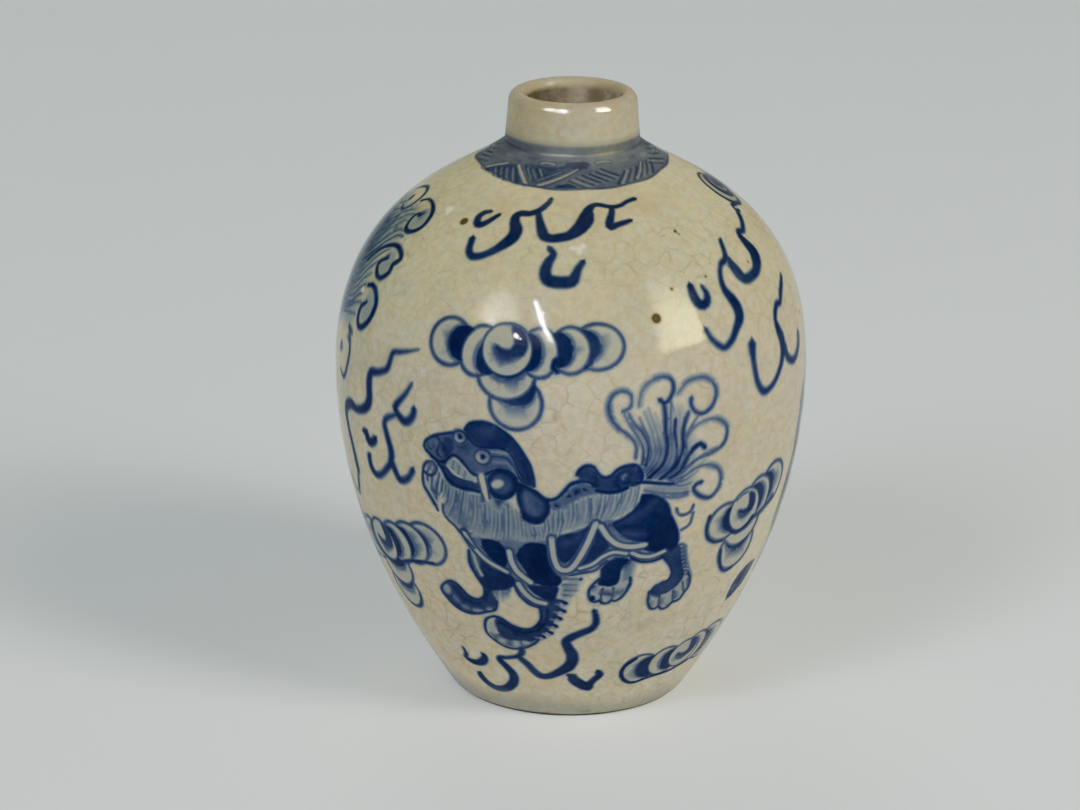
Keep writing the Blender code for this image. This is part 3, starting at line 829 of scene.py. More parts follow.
def tailless_lion(pen):
    """A lion without its tail, where the plume stands for it."""
    for part in (first_foreleg, second_foreleg, near_hind_leg, far_hind_leg, lion_back, trunk,
                 straps_and_folds, mane_and_beard, chin_tuft, snout, crest, ear, eyes, lion_mouth):
        part(pen)


def lion(pen):
    """A Buddhist lion, walking to the left with its head up."""
    lion_tail(pen)
    tailless_lion(pen)


def plume(pen):
    """The large tail that curls over the left shoulder."""
    curls = (
        ([(-35.2, 26.2, 0.2), (-33.5, 27.3, 0.22), (-31.5, 27.3, 0.26), (-29.6, 26.6, 0.36),
          (-28.2, 25.4, 0.4), (-27.6, 23.6, 0.4), (-28, 22.2, 0.38), (-29.4, 21.2, 0.38),
          (-31, 21.2, 0.38), (-31.9, 22.3, 0.32), (-32.1, 23.6, 0.28), (-31.4, 24.4, 0.28),
          (-30.7, 24, 0.3)], 0.9),
        ([(-35.5, 14.5, 0.26), (-33.9, 16.6, 0.28), (-31.9, 17.9, 0.32), (-30, 18.5, 0.34),
          (-28.2, 18.1, 0.36), (-27.2, 17.2, 0.38), (-28.1, 16, 0.38), (-28, 15, 0.36),
          (-29.2, 13.8, 0.32), (-30.6, 14, 0.3), (-31.6, 15.1, 0.32), (-30.8, 16.1, 0.26),
          (-30, 16.4, 0.22)], 0.88),
        ([(-31.6, 12.2, 0.2), (-30.2, 12.5, 0.3), (-29, 12.1, 0.34), (-27.9, 10.8, 0.38),
          (-28.2, 9, 0.36), (-29.4, 7.6, 0.34), (-30.6, 7.4, 0.32), (-31.3, 8.4, 0.34),
          (-31.2, 9.6, 0.3), (-30.4, 10.2, 0.24)], 0.88),
        ([(-33.3, 6.6, 0.3), (-32.2, 5.2, 0.28), (-31.9, 3.4, 0.26), (-32.6, 1.4, 0.25),
          (-33.6, 0.5, 0.24), (-35, 1, 0.18)], 0.66),
        ([(-44, 25.5, 0.24), (-42.2, 27.2, 0.28), (-40, 28.3, 0.32), (-38, 28.2, 0.34),
          (-36.6, 27, 0.34), (-36.4, 25.2, 0.34), (-37, 23.6, 0.32), (-38.4, 22.8, 0.32),
          (-40, 23.2, 0.26)], 0.72),
    )
    guides = (
        [(-50, 10), (-48, 18), (-44, 22.5), (-40.5, 24.5)],
        [(-49, 9.6), (-45, 17), (-41, 20.5), (-38, 22.6)],
        [(-48.5, 9.2), (-43, 15), (-38.5, 18.5), (-36.5, 21.8), (-34.8, 24), (-32.8, 24.8)],
        [(-48, 9), (-42, 13), (-37, 16.2), (-35, 19), (-33.4, 21), (-31.8, 21.4)],
        [(-48, 8.6), (-41.5, 11.2), (-36.5, 13.6), (-34, 16.8), (-31.5, 19.4), (-29.6, 19.6)],
        [(-48, 8), (-41, 9.8), (-35.5, 12), (-33.2, 15), (-31.4, 16.8)],
        [(-47.6, 7.4), (-40, 8.6), (-35, 10.4), (-32.6, 12.8), (-30.6, 13.2)],
        [(-47.4, 6.8), (-39.5, 7.6), (-35, 8.6), (-32.8, 10.2), (-31.2, 10.6)],
        [(-47.2, 6.2), (-39.5, 6.6), (-35, 7.2), (-32.6, 7.4)],
    )
    pen.wash([(-51, 8), (-50, 16), (-46, 23), (-43, 25.6), (-39, 24.4), (-35.4, 25.6), (-32.6, 25.4),
              (-32, 21.6), (-30, 20), (-33, 16.4), (-32.4, 13), (-32, 9), (-33, 6.4), (-38, 5.6), (-45, 5)],
             0.2, soft=5)
    pen.wash([(-51, 8.4), (-49.6, 16), (-45, 21.6), (-40, 22), (-36.4, 20.6), (-35.2, 16.4), (-34.8, 12),
              (-36, 8.6), (-40, 7), (-46, 6)], 0.44, soft=5)
    for x, y, a, b in ((-30, 23.9, 1.9, 2.3), (-29.7, 15.9, 1.7, 1.8), (-29.6, 10, 1.4, 2)):
        pen.wash(ellipse(x, y, a, b), 0.2, soft=1.5)
    strands(pen, guides, 2, half=0.24, ink=0.9, soft=1.6)
    for points, ink in curls:
        pen.line(points, ink=ink, soft=1.1)
    pen.dot(-40, 25, 0.6, 0.75, soft=2)
    pen.dot(-35.3, 3.6, 0.55, 0.72, soft=2)
    for x, y in ((-32.6, 6.6), (-33.2, 5.4)):
        pen.line([(x, y), (x + 0.7, y - 0.5)], 0.2, 0.6, soft=1.5)
    pen.line([(-36.6, 21.5), (-36.4, 19.4), (-36.8, 17.4)], 0.5, 0.6, soft=3)


def top_ribbons(pen):
    """Ribbons between the collar and the cloud over the head."""
    for points in (
        [(-16.1, 29.7, 0.35), (-17.2, 29.2, 0.5), (-17.8, 28, 0.55), (-17.3, 26.7, 0.6), (-16.5, 26.4, 0.6),
         (-15.5, 27.2, 0.5), (-14.7, 28.4, 0.4), (-14, 29.4, 0.3)],
        [(-4.7, 35.3, 0.4), (-5, 34, 0.55), (-6, 32.3, 0.6), (-6.8, 31.4, 0.6), (-8.2, 30.6, 0.6),
         (-9.8, 30.4, 0.65), (-10.6, 29.6, 0.7), (-10.4, 28.2, 0.8), (-9.6, 26.6, 0.95), (-9.6, 25.2, 0.95),
         (-10.3, 23.9, 0.85), (-11.6, 22.4, 0.6), (-13.2, 21.1, 0.5), (-14.8, 20.6, 0.5), (-15.8, 21.3, 0.45),
         (-16.2, 22.6, 0.45), (-16.4, 23.6, 0.45)],
        [(-6.6, 31.2, 0.5), (-6.1, 29.5, 0.55), (-5.4, 27.6, 0.7), (-4.6, 25.8, 0.8), (-3.4, 25.3, 0.7),
         (-2, 25.5, 0.75), (-0.4, 26, 0.8), (1.2, 27.4, 1.1), (2.4, 29.2, 1.3), (2.9, 30.6, 1.2),
         (3.4, 32.2, 0.8), (4.4, 33.3, 0.55), (5.6, 33.5, 0.5), (7, 33, 0.45), (8.6, 32.6, 0.45),
         (10.4, 32.9, 0.4), (12.2, 33.8, 0.4), (14.3, 34.3, 0.45)],
        [(8.3, 32.7, 0.5), (7.9, 31.2, 0.5), (7.2, 29.6, 0.6), (6.8, 28.2, 0.7), (6.9, 27.5, 0.55),
         (8, 28, 0.5), (9.6, 28.4, 0.45), (11, 28.8, 0.3)],
        [(-3.4, 23.4, 0.4), (-2.7, 22.4, 0.45), (-3.3, 21, 0.6), (-3.6, 19.6, 0.7), (-3.2, 18.4, 0.75),
         (-1.8, 18, 0.75), (0, 18.2, 0.75), (0.6, 19.2, 0.55), (1, 20.2, 0.45), (1.7, 21.2, 0.35)],
    ):
        ribbon(pen, points)


def left_ribbons(pen):
    """Ribbons ahead of the lion's face, below the plume."""
    ribbon(pen, [(-18.6, 7.6, 0.05), (-20, 7.1, 0.12), (-21.4, 6.7, 0.2), (-22.4, 6.4, 0.25),
                 (-22.8, 5.2, 0.28), (-23.2, 4.3, 0.3), (-24.6, 3.6, 0.3), (-26, 3.2, 0.42),
                 (-26.3, 2, 0.48), (-26.2, 0.4, 0.5), (-26.5, -0.6, 0.5), (-27.6, -1.5, 0.42),
                 (-29.2, -2, 0.36), (-31, -1.9, 0.5), (-32.4, -2.6, 0.5), (-32.8, -3.8, 0.42),
                 (-32.4, -5.4, 0.35), (-31.6, -7, 0.35), (-31.2, -8.6, 0.4), (-31.1, -10, 0.4)])
    pen.line([(-31.2, -10.2), (-31.8, -11.8), (-32.6, -13.4), (-33.8, -13.2), (-35, -12)], 0.3, 0.6)
    for points in (
        [(-19, 3.6, 0.12), (-19.8, 2.3, 0.2), (-20.8, 1.2, 0.25), (-21.4, 0.4, 0.35), (-21, -0.3, 0.35),
         (-20, -0.9, 0.4), (-19.2, -0.6, 0.38), (-18.6, 0.2, 0.32), (-18.5, 0.9, 0.28)],
        [(-21.6, -0.6, 0.25), (-22.8, -1.2, 0.28), (-23.3, -2, 0.32), (-22.8, -3.6, 0.36), (-22.4, -5, 0.42),
         (-22.6, -6.4, 0.38), (-23.6, -7.6, 0.3), (-24.8, -8.6, 0.32), (-26, -8.9, 0.38), (-26.8, -8.2, 0.38),
         (-27, -7, 0.35), (-26.8, -6.8, 0.3)],
        [(-22.4, -6.2, 0.35), (-22, -7.2, 0.38), (-21.3, -8.2, 0.4), (-20.4, -8, 0.35), (-19.6, -7.4, 0.3),
         (-19, -6.4, 0.28)],
    ):
        ribbon(pen, points)
    ribbon(pen, [(-27.9, -4.2, 0.2), (-27.2, -4.2, 0.45), (-27, -4.8, 0.48), (-26.4, -5.1, 0.45),
                 (-25.6, -4.7, 0.38), (-25.2, -4.3, 0.32)], 0.96)


def low_ribbons(pen):
    """Ribbons under the lion's feet."""
    for points in (
        [(-7.2, -31.9, 0.45), (-7.3, -33.2, 0.45), (-8.2, -34.1, 0.35), (-9.8, -34.7, 0.35),
         (-11.2, -35, 0.45), (-11.3, -35.8, 0.55), (-10.6, -37, 0.6), (-9.8, -38.6, 0.7), (-9.7, -40.2, 0.75),
         (-10.4, -42, 0.8), (-11.8, -43.6, 0.8), (-13.4, -44.4, 0.8), (-15, -44.4, 0.8), (-16.4, -43.2, 0.75),
         (-17, -41.6, 0.7), (-16.8, -40.8, 0.5)],
        [(-18.2, -34.7, 0.25), (-18.1, -36.2, 0.35), (-18.6, -37.2, 0.45), (-17.4, -37.9, 0.6),
         (-16, -37.7, 0.65), (-14.8, -36.8, 0.65), (-14.2, -35.6, 0.5), (-14.4, -35, 0.35)],
        [(-7.5, -34.6, 0.5), (-6.6, -35.8, 0.55), (-5.8, -37.3, 0.6), (-4.6, -38.6, 0.7), (-3.2, -38.5, 0.65),
         (-1.6, -37.4, 0.75), (-0.2, -36.2, 0.9), (0.6, -34.6, 0.85), (0.6, -32.8, 0.8), (0, -31.2, 0.65),
         (-0.3, -29.9, 0.6), (0.4, -29, 0.6), (1.6, -28.2, 0.55), (3, -27.4, 0.5), (3.7, -26.4, 0.42),
         (3.7, -25, 0.35), (3.4, -23.8, 0.3)],
        [(0, -38, 0.3), (0.6, -38.4, 0.7), (1.2, -39.6, 0.9), (2.6, -41, 1.0), (3.6, -41.8, 0.9),
         (4, -40.6, 0.6), (4.8, -39.2, 0.6), (5.4, -38.2, 0.6), (5, -37.2, 0.4)],
        [(2.6, -41.2, 0.8), (3.4, -42, 0.5), (3.9, -42.7, 0.1)],
    ):
        ribbon(pen, points)


def right_ribbons(pen):
    """Ribbons on the right shoulder, over the lion's tail."""
    ribbon(pen, [(16.1, 16.3, 0.36), (16.1, 15, 0.52), (16.4, 14, 0.56), (17.1, 13.5, 0.52),
                 (17.9, 14, 0.46), (18.1, 14.9, 0.36), (17.8, 15.9, 0.2)], (1.1, 1.0, 1.0, 0.9, 0.8))
    for points in (
        [(16.6, 10.6, 0.3), (17.2, 9.4, 0.3), (18.2, 8.4, 0.32), (19, 8.1, 0.32), (20.2, 8.8, 0.35),
         (21.2, 9.9, 0.42), (22.1, 11, 0.6), (22.2, 12.2, 0.65), (21.8, 13.4, 0.6), (21.2, 14.6, 0.45),
         (21.2, 15.8, 0.35), (21.7, 17.1, 0.3), (22.6, 18.1, 0.32), (23.6, 18.4, 0.4), (24.2, 18.9, 0.35),
         (24.8, 20.2, 0.35), (25.3, 21.3, 0.3), (25.7, 21.6, 0.1)],
        [(24.4, 18.4, 0.5), (24.6, 17, 0.75), (25, 15.8, 0.75), (25.8, 15.1, 0.6), (27.4, 15.2, 0.55),
         (28.8, 15.6, 0.6), (30, 16.6, 0.85), (30.7, 17.8, 1.0), (30.5, 19.2, 0.8), (30.4, 20.6, 0.55),
         (31, 21.3, 0.45), (32.2, 21.1, 0.4), (33.6, 21.7, 0.38), (35, 22.6, 0.45), (36, 23.4, 0.5)],
        [(23.3, 7.6, 0.55), (23.1, 6.2, 0.4), (23.2, 4.6, 0.35), (23.6, 3, 0.35), (24.6, 1.8, 0.38),
         (26, 1.9, 0.3), (27.4, 2.7, 0.3), (28.6, 3.9, 0.35), (29.2, 5.2, 0.45), (29.4, 6.6, 0.6),
         (29, 7.8, 0.5), (28.8, 9, 0.32), (29.4, 10.1, 0.35), (30.2, 10.6, 0.35), (31.2, 10.6, 0.3),
         (32.2, 11.5, 0.35), (33.4, 12.2, 0.3), (34.8, 13.1, 0.2)],
        [(29.8, 5.6, 0.5), (30.2, 4.4, 0.42), (31.2, 3.6, 0.38), (32.4, 3.4, 0.38), (33.6, 3.9, 0.45),
         (34.4, 4.8, 0.5), (34.7, 5.8, 0.4)],
    ):
        ribbon(pen, points)


def wide_cloud(pen):
    """The cloud over the lion's head, with lobes to both sides and below."""
    lobe(pen, -6, 3.4, 3.0, 3.0, 90, 0.8, 0.4)
    lobe(pen, -7.2, 6.6, 3.05, 3.4, 90, 0.92, 0.34)
    lobe(pen, -14.4, 9.4, 2.75, 2.8, 0, 0.9, 0.48)
    lobe(pen, -10.5, 8.9, 2.4, 3.05, -20, 0.84)
    lobe(pen, 3.1, 10, 3.1, 2.7, 180, 0.8, 0.42)
    lobe(pen, 0, 9.6, 2.4, 2.75, 180, 0.86, 0.4)
    lobe(pen, -3.5, 9.2, 2.3, 2.9, 180, 0.9, 0.4)
    pen.line([(-1.5, 7.2), (-1.9, 7.6), (-1.7, 8.4)], 0.34, 0.95, soft=1.4)
    pen.line([(1.7, 7.6), (2.3, 8.2)], 0.3, 0.9, soft=1.4)
    scroll(pen, -7.4, 9.3, 2.85)


def right_cloud(pen):
    """The cloud between the lion and the right side, with its ribs drawn darker."""
    lobe(pen, 23.4, -17.5, 3.3, 3.3, 90, 0.8, 0.42)
    lobe(pen, 23.4, -14.3, 3.0, 3.3, 90, 0.85, 0.34)
    lobe(pen, 28.4, -10.3, 2.8, 2.8, 190, 0.86, 0.36)
    lobe(pen, 25.6, -11.2, 2.6, 2.8, 190, 0.84, 0.1)
    pen.line([(25.4, -13.9), (26.8, -13.6), (28.2, -13), (29.4, -12.4)], 0.4, 0.72, soft=2)
    lobe(pen, 19.9, -13, 2.75, 2.55, 10, 0.86, 0.38)
    pen.line([(17.3, -11.6), (17.1, -13.2), (17.6, -14.6), (18.9, -15.5), (20.2, -15.6)], 0.24, 0.88)
    pen.line([(20.4, -17.2), (20.7, -18.8), (21.5, -20.2), (22.6, -20.9), (23.8, -20.8)], 0.28, 0.84)
    scroll(pen, 23.1, -12.2, 2.6, 0.86)
    pen.line([(20.5, -13.6), (21.4, -14.6), (22.8, -15.1), (24.2, -14.7), (25.2, -13.8)], 0.34, 0.9)


def left_cloud(pen):
    """The cloud ahead of the lion's forelegs."""
    lobe(pen, -26.5, -25.7, 3.4, 3.4, 90, 0.84, 0.5)
    lobe(pen, -26.8, -21.9, 3.2, 3.6, 90, 0.9, 0.44)
    lobe(pen, -18.8, -16.2, 3.2, 3.0, 190, 0.86, 0.4)
    lobe(pen, -21.6, -16.9, 3.1, 3.0, 190, 0.88, 0.35)
    lobe(pen, -24.6, -17.8, 3.0, 3.0, 190, 0.88, 0.3)
    lobe(pen, -34.6, -20, 3.2, 3.0, 0, 0.9, 0.4)
    lobe(pen, -31.6, -19.4, 3.0, 3.0, 0, 0.9, 0.35)
    pen.line([(-29.6, -26.6), (-28.6, -28.2), (-27, -28.9), (-25.2, -28.6), (-23.8, -27.2), (-23.2, -25.4)],
             0.26, 0.82)
    pen.line([(-24.8, -20.7), (-22.4, -19.8), (-20, -19.2), (-18.2, -18.9)], 0.26, 0.86)
    scroll(pen, -28.2, -18.6, 2.8)
    pen.line([(-30.9, -17), (-31.2, -18.8), (-30.6, -20.6), (-29, -21.6), (-27, -21.6), (-25.4, -20.7)],
             0.42, 0.86, soft=1.5)


def low_cloud(pen):
    """The cloud under the lion, with a line round its underside."""
    lobe(pen, 12.5, -38, 3.5, 3.75, 5, 0.86, 0.4)
    lobe(pen, 17.2, -37.3, 3.2, 3.55, 5, 0.9, 0.34)
    lobe(pen, 27.2, -36, 4.2, 4.1, 180, 0.84, 0.42)
    lobe(pen, 23.6, -36.2, 2.9, 3.8, 180, 0.86, 0.3)
    scroll(pen, 21.3, -36.6, 3.05)
    for points in ([(11.2, -35), (9.6, -36.6), (9.3, -38.4), (10, -40.2), (11.4, -41.5),
                    (12.8, -41.8)],
                   [(12.8, -41.8), (14.6, -41.2), (16.4, -40.9), (18.4, -40.9), (20.4, -40.7),
                    (22.4, -40.2), (24.4, -39.6)]):
        pen.line(points, 0.36, 0.9)


class Band:
    """A wash all round the sheet between two heights, with a lower edge that dips in front."""

    cover, layer, reach = False, "ink", 2.0

    def __init__(self, low, high, ink, soft):
        self.low, self.high, self.ink, self.soft = low, high, ink, soft
        self.p = np.array([(LEFT, low - 4), (CUT, high)])

    def edge(self, x):
        turn = x / BELLY_RADIUS
        dip = 3.1 * np.exp(-(((x - 1) / 24) ** 2))
        return self.low - dip + 0.25 * np.sin(5 * turn + 1) + 0.15 * np.sin(13 * turn)

    def edges(self):
        x = np.linspace(LEFT, CUT, 260)
        return [(np.stack((x, self.edge(x) + s), 1), False) for s in (-self.soft, self.soft)]

    def strength(self, spots):
        gap = spots[:, 1] - self.edge(spots[:, 0])
        share = np.clip((gap + self.soft) / (2 * self.soft), 0, 1)
        return share * np.clip((self.high - spots[:, 1]) / 1.8, 0, 1), self.ink


# The front of the collar: rows of (first stroke, last stroke, how many), pale between dark.
COLLAR_HATCH = (
    (((-27, 42.6), (-23.8, 39.9)), ((-19, 45), (-15.2, 39.2)), 5),
    (((-15.8, 46), (-12.6, 42)), ((-9.6, 45.4), (-7.4, 41.8)), 4),
    (((-1.2, 42), (3.4, 39.4)), ((9.6, 46.2), (14.4, 42.6)), 6),
    (((12.4, 39.8), (16.8, 44.4)), ((25.8, 41.2), (30.8, 45.6)), 6),
    (((28.6, 44.6), (34.6, 41.8)), ((40, 50.4), (47, 47.4)), 5),
    (((-39, 41.6), (-32.4, 43.2)), ((-48, 46.6), (-39, 50)), 5),
)
COLLAR_BARS_AND_REFLECTIONS = (
    ([(-30.6, 41), (-27.4, 43.4), (-23.4, 45.8)], 0.55, 0.24),
    ([(-18.6, 46), (-15.4, 42.8), (-12.4, 39.4)], 0.56, 0.2),
    ([(-8.9, 39.4, 0.6), (-4.4, 42.2, 0.55), (1.8, 46.6, 0.35)], 0.5, 0.22),
    ([(-9.8, 41.2), (-6.4, 43.4), (-3.6, 45.2)], 0.26, 0.36),
    # The next two short pale bars are painted reflections of the windows.
    ([(-11, 48.4), (-8.8, 48.9), (-6.3, 48.4)], 0.55, 0.3),
    ([(8.6, 49.1), (11.2, 49.4), (14, 49)], 0.5, 0.33),
    ([(19, 40.6), (22.4, 43.2), (25.8, 46.2)], 0.42, 0.26),
)


def collar(pen):
    """The hatched collar round the foot of the neck."""
    band = Band(41.3, 57.2, 0.43, 0.5)
    Pen.marks.append(band)
    chance = random.Random(3)
    x = np.linspace(LEFT + 0.5, CUT - 0.5, 90)
    pen.line([(a, 52.6 + 0.3 * math.sin(a / 7)) for a in x], 1.2, 0.62, soft=6)
    for k in range(30):
        x0 = LEFT + 2 + k * (GIRTH - 4) / 29 + chance.uniform(-1, 1)
        y = chance.uniform(47, 50.4)
        ink = chance.choice((0.54, 0.6, 0.32, 0.48, 0.36))
        pen.line([(x0, y), (x0 + chance.uniform(2, 4.5), y + chance.uniform(-0.6, 0.8))],
                 chance.uniform(0.3, 0.7), ink, soft=3.4, cover=True)
    # Sides and back: bays of zigzag, each triangle hatched along one of its sides.
    step = GIRTH / 8
    for k in (-3, 3, 4):
        x0 = -11 + k * step
        foot, top, back = (x0, 41.2), (x0 + 0.5 * step, 47.2), (x0 + step, 41.2)
        for j in range(6):
            t = (j + chance.uniform(0.5, 0.9)) / 6.4
            a = (foot[0] + step * t, 41.6 + chance.uniform(-0.2, 0.5))
            b = (a[0] + (top[0] - foot[0]) * (1 - t), 41.6 + 5.4 * (1 - t) * chance.uniform(0.8, 1))
            ink = chance.uniform(0.52, 0.66) if j % 2 else chance.uniform(0.2, 0.3)
            pen.line([a, b], chance.uniform(0.22, 0.4), ink, soft=2.2, cover=True)
        for a, b in ((foot, top), (top, back)):
            rows = [(a[0], a[1], 0.55), (b[0], b[1], 0.4)]
            pen.line([(px, py, half + 0.4) for px, py, half in rows], ink=0.62, soft=2.2, cover=True)
            pen.line(rows, ink=0.2, soft=2, cover=True)
    # Front.
    for points, ink in (([(-30, 41.2), (-23.5, 45.2), (-19, 46), (-13.4, 39.4), (-18, 39.4),
                          (-24, 40.2)], 0.6),
                        ([(-17, 46.6), (-12, 40.4), (-9, 40), (0, 46), (-2, 47.6), (-12, 48)], 0.54),
                        ([(-13, 46.4), (-8, 45.4), (-2, 46.2), (5, 46.6), (6, 49.8), (-1, 50),
                          (-5, 47.4), (-12, 47.6)], 0.66)):
        pen.wash(points, ink, soft=4)
    for first, last, count in COLLAR_HATCH:
        for k in range(2 * count - 1):
            stroke = between(first, last, k / (2 * count - 2), 2)
            stroke += np.array([chance.uniform(-0.3, 0.3), chance.uniform(-0.3, 0.3)])
            ink = chance.uniform(0.26, 0.36) if k % 2 else chance.uniform(0.6, 0.78)
            pen.line(stroke, chance.uniform(0.2, 0.34), ink, soft=2, cover=True)
    pen.wash([(-4.6, 39.3), (-1.2, 40.8), (1.4, 39.6), (0, 38.8), (-3.6, 38.7)], 0.76, soft=2)
    pen.wash([(-30.4, 40.9), (-28, 41.6), (-26.4, 40.6), (-28.4, 40.4)], 0.78, soft=2)
    # Pale bars over the hatching; two of them are painted reflections.
    for points, half, ink in COLLAR_BARS_AND_REFLECTIONS:
        wide = [tuple(q[:2]) + ((q[2] if len(q) > 2 else half) + 0.34,) for q in points]
        pen.line(wide, ink=0.62, soft=2, cover=True)
        pen.line(points, half, ink, soft=1.6, cover=True)
    pen.line([(a, band.edge(a) + 0.3) for a in x], 0.34, 0.66, soft=2)


def shoulder_loop(pen):
    """A loop of cloud high on the right shoulder, with its ribbon and a lobe behind it."""
    for x, y, along, across, ink in ((41.4, 28.4, 4.6, 4.9, 0.8), (41.6, 28.5, 3.9, 4.2, 0.16),
                                     (42.6, 28.5, 3.3, 3.4, 0.85), (43.2, 28.7, 2.4, 2.3, 0.25),
                                     (43.9, 28.9, 1.6, 1.4, 0.8)):
        pen.wash(ellipse(x, y, along, across), ink, cover=ink < 0.3)
    pen.line([(38.4, 24.6), (36.9, 24.9), (36.4, 23.9), (37.4, 23.6)], 0.4, 0.8)
    lobe(pen, 50.5, 28, 4.6, 3.9, 180, 0.85, 0.42)


def side_ribbon_and_reflection(pen):
    """A long ribbon down the right side, a thinner one beyond it that curls at its end, and the
    blot that the long one ends in. The long one is a painted reflection, dark along the right
    edge of the front."""
    # Painted reflection: the long ribbon darkens the strip along the right edge.
    pen.line([(42.6, 5.4, 0.3), (43.4, 3.9, 0.45), (42.6, 2.4, 0.5), (40.6, 1.4, 0.5), (38.4, 0.2, 0.7),
              (37, -1.8, 1.05), (36.3, -4.6, 1.3), (36, -7.8, 1.4), (35.4, -11, 1.4), (34.5, -13.8, 1.3),
              (34.2, -16.4, 1.1), (34.4, -18.4, 0.9), (34.7, -20.6, 0.8), (33.9, -22.8, 0.6),
              (32.7, -24.2, 0.35)], ink=0.86)
    pen.line([(39.6, 0.6, 0.3), (38.9, -2, 0.4), (38.5, -5, 0.45), (38.3, -8.4, 0.45), (37.8, -11.8, 0.45),
              (37, -14.8, 0.45), (37.2, -17.4, 0.45), (38.4, -19.4, 0.5), (40, -20.2, 0.45),
              (41.2, -19.4, 0.35), (41, -18.2, 0.25)], ink=0.8)
    pen.line([(30.2, -22.8, 1.0), (28.8, -23.8, 1.7), (27.5, -25.2, 1.6), (26.7, -26.6, 0.9)], ink=0.8,
             soft=1.6)
    pen.wash(ellipse(27, -25.4, 0.8, 0.5, 50), 0.5, cover=True, soft=2)


def flaws(pen):
    """Iron specks, a patch of bare clay at the foot, and pale pits in the glaze, one cluster of them with a
    painted glint.
    """
    for x, y, size in ((-20, 26.3, 0.84), (10.4, 12.8, 0.72), (18, 25, 0.4), (18.3, 24.4, 0.25),
                       (13.3, 16.2, 0.3), (19, 17, 0.25), (28, 17, 0.24), (37.3, 7.5, 0.3),
                       (39.8, 9.2, 0.2), (62, -30, 0.3), (-70, 30, 0.3)):
        pen.dot(x, y, size, 1.0, layer="iron")
    pen.wash([(2.6, -50.2), (3.4, -49.9), (4.6, -49.7), (5.4, -50.1), (5, -50.6), (3, -50.6)], 1.0,
             layer="clay")
    # Pale pits; the three near (1, 23.5) carry a painted glint.
    for x, y, a, b in ((-25.3, 27.7, 0.95, 0.75), (-25, 27.4, 0.5, 0.9), (0.4, 23.5, 0.7, 0.34),
                       (1.2, 23.1, 0.42, 0.75), (1.8, 23.9, 0.36, 0.5), (-32.4, 11.3, 0.3, 0.3)):
        pen.wash(ellipse(x, y, a, b), 1.0, layer="pit", soft=1.2, step=0.25)


def paint_all():
    """Every mark, in the order they are laid: a later reserve cuts into what lies under it."""
    front = Pen()
    for motif in (collar, plume, top_ribbons, left_ribbons, low_ribbons, right_ribbons, wide_cloud,
                  right_cloud, left_cloud, low_cloud, shoulder_loop, lion, side_ribbon_and_reflection):
        motif(front)
    # The sides turned away carry two more lions, with clouds and ribbons between.
    for motif, x, y, size in (
        (lion, 57.5, 0, 1.0), (tailless_lion, -60, 12, 1.0), (wide_cloud, 66, 14, 0.9),
        (low_cloud, 74, 1, 1.0), (top_ribbons, 72, -1, 1.0), (left_ribbons, 113, 8, 1.0),
        (low_ribbons, 60, 0, 1.0), (low_cloud, -86, 1, 1.0), (right_ribbons, -112, 2, 1.0),
        (top_ribbons, -66, 0, 0.9),
    ):
        motif(Pen(x, y, size, care=0.6))
    flaws(front)


# ---------------------------------------------------------------- the wall as a mesh

def copies(mark):
    """A mark's places on the sheet: its own, and a girth away where it runs over the cut."""
    x = mark.p[:, 0]
    return [shift for shift in (-GIRTH, 0.0, GIRTH)
            if x.max() + shift + mark.reach > LEFT and x.min() + shift - mark.reach < CUT]


def sheet_triangles():
    """The outside cut into triangles along the brush marks: places on the sheet and faces."""
    low, high = SHEET_FOOT, SHEET_NECK
    rows, columns = int(round((high - low) / GRID)), int(GIRTH / GRID)
    spots, edges = [], []
    for j in range(COLUMNS + 1):
        x = LEFT + GIRTH * j / COLUMNS
        spots += [(x, low), (x, high)]
    for i in range(1, rows):
        y = low + (high - low) * i / rows
        spots += [(LEFT, y), (CUT, y)]
        shift = 0.25 + 0.5 * (i % 2)
        spots += [(LEFT + GIRTH * (j + shift) / columns, y) for j in range(columns)]
    margin = 0.12
    runs = []
    for mark in Pen.marks:
        for shift in copies(mark):
            for run, closed in mark.edges():
                run = thinned(run) + (shift, 0)
                across = sideways(run, closed) * max(0.1, 0.5 * mark.soft)
                runs.append((run, closed, across, mark.layer))
    for (run, closed, _, _), bend in zip(runs, bends(runs)):
        keep = (
            (run[:, 0] > LEFT + margin) & (run[:, 0] < CUT - margin)
            & (run[:, 1] > low + margin) & (run[:, 1] < high - margin) & bend
        )
        number = np.cumsum(keep) - 1 + len(spots)
        spots += [tuple(q) for q in run[keep]]
        last = len(run) if closed else len(run) - 1
        for i in range(last):
            k = (i + 1) % len(run)
            if keep[i] and keep[k]:
                edges.append((int(number[i]), int(number[k])))
    made = delaunay_2d_cdt([Vector(s) for s in spots], edges, [], 0, 0.015, False)
    return np.array([tuple(v) for v in made[0]]), np.array(made[2])


def bends(runs):
    """For each run of points, where the ink changes its slope across the run. Edges under a
    darker mark, or under a reserve, do not show, and the mesh need not follow them."""
    shows = [np.zeros(len(run), bool) for run, _, _, _ in runs]
    for layer in LAYERS:
        picked = [i for i, r in enumerate(runs) if r[3] == layer]
        if not picked:
            continue
        at = np.vstack([runs[i][0] for i in picked])
        across = np.vstack([runs[i][2] for i in picked])
        middle, one, other = (strengths(*p.T, layer) for p in (at, at + across, at - across))
        bend = np.abs(one + other - 2 * middle) > BEND
        start = 0
        for i in picked:
            found = bend[start:start + len(runs[i][0])]
            start += len(found)
            shows[i] = found | np.roll(found, 1) | np.roll(found, -1)
    return shows


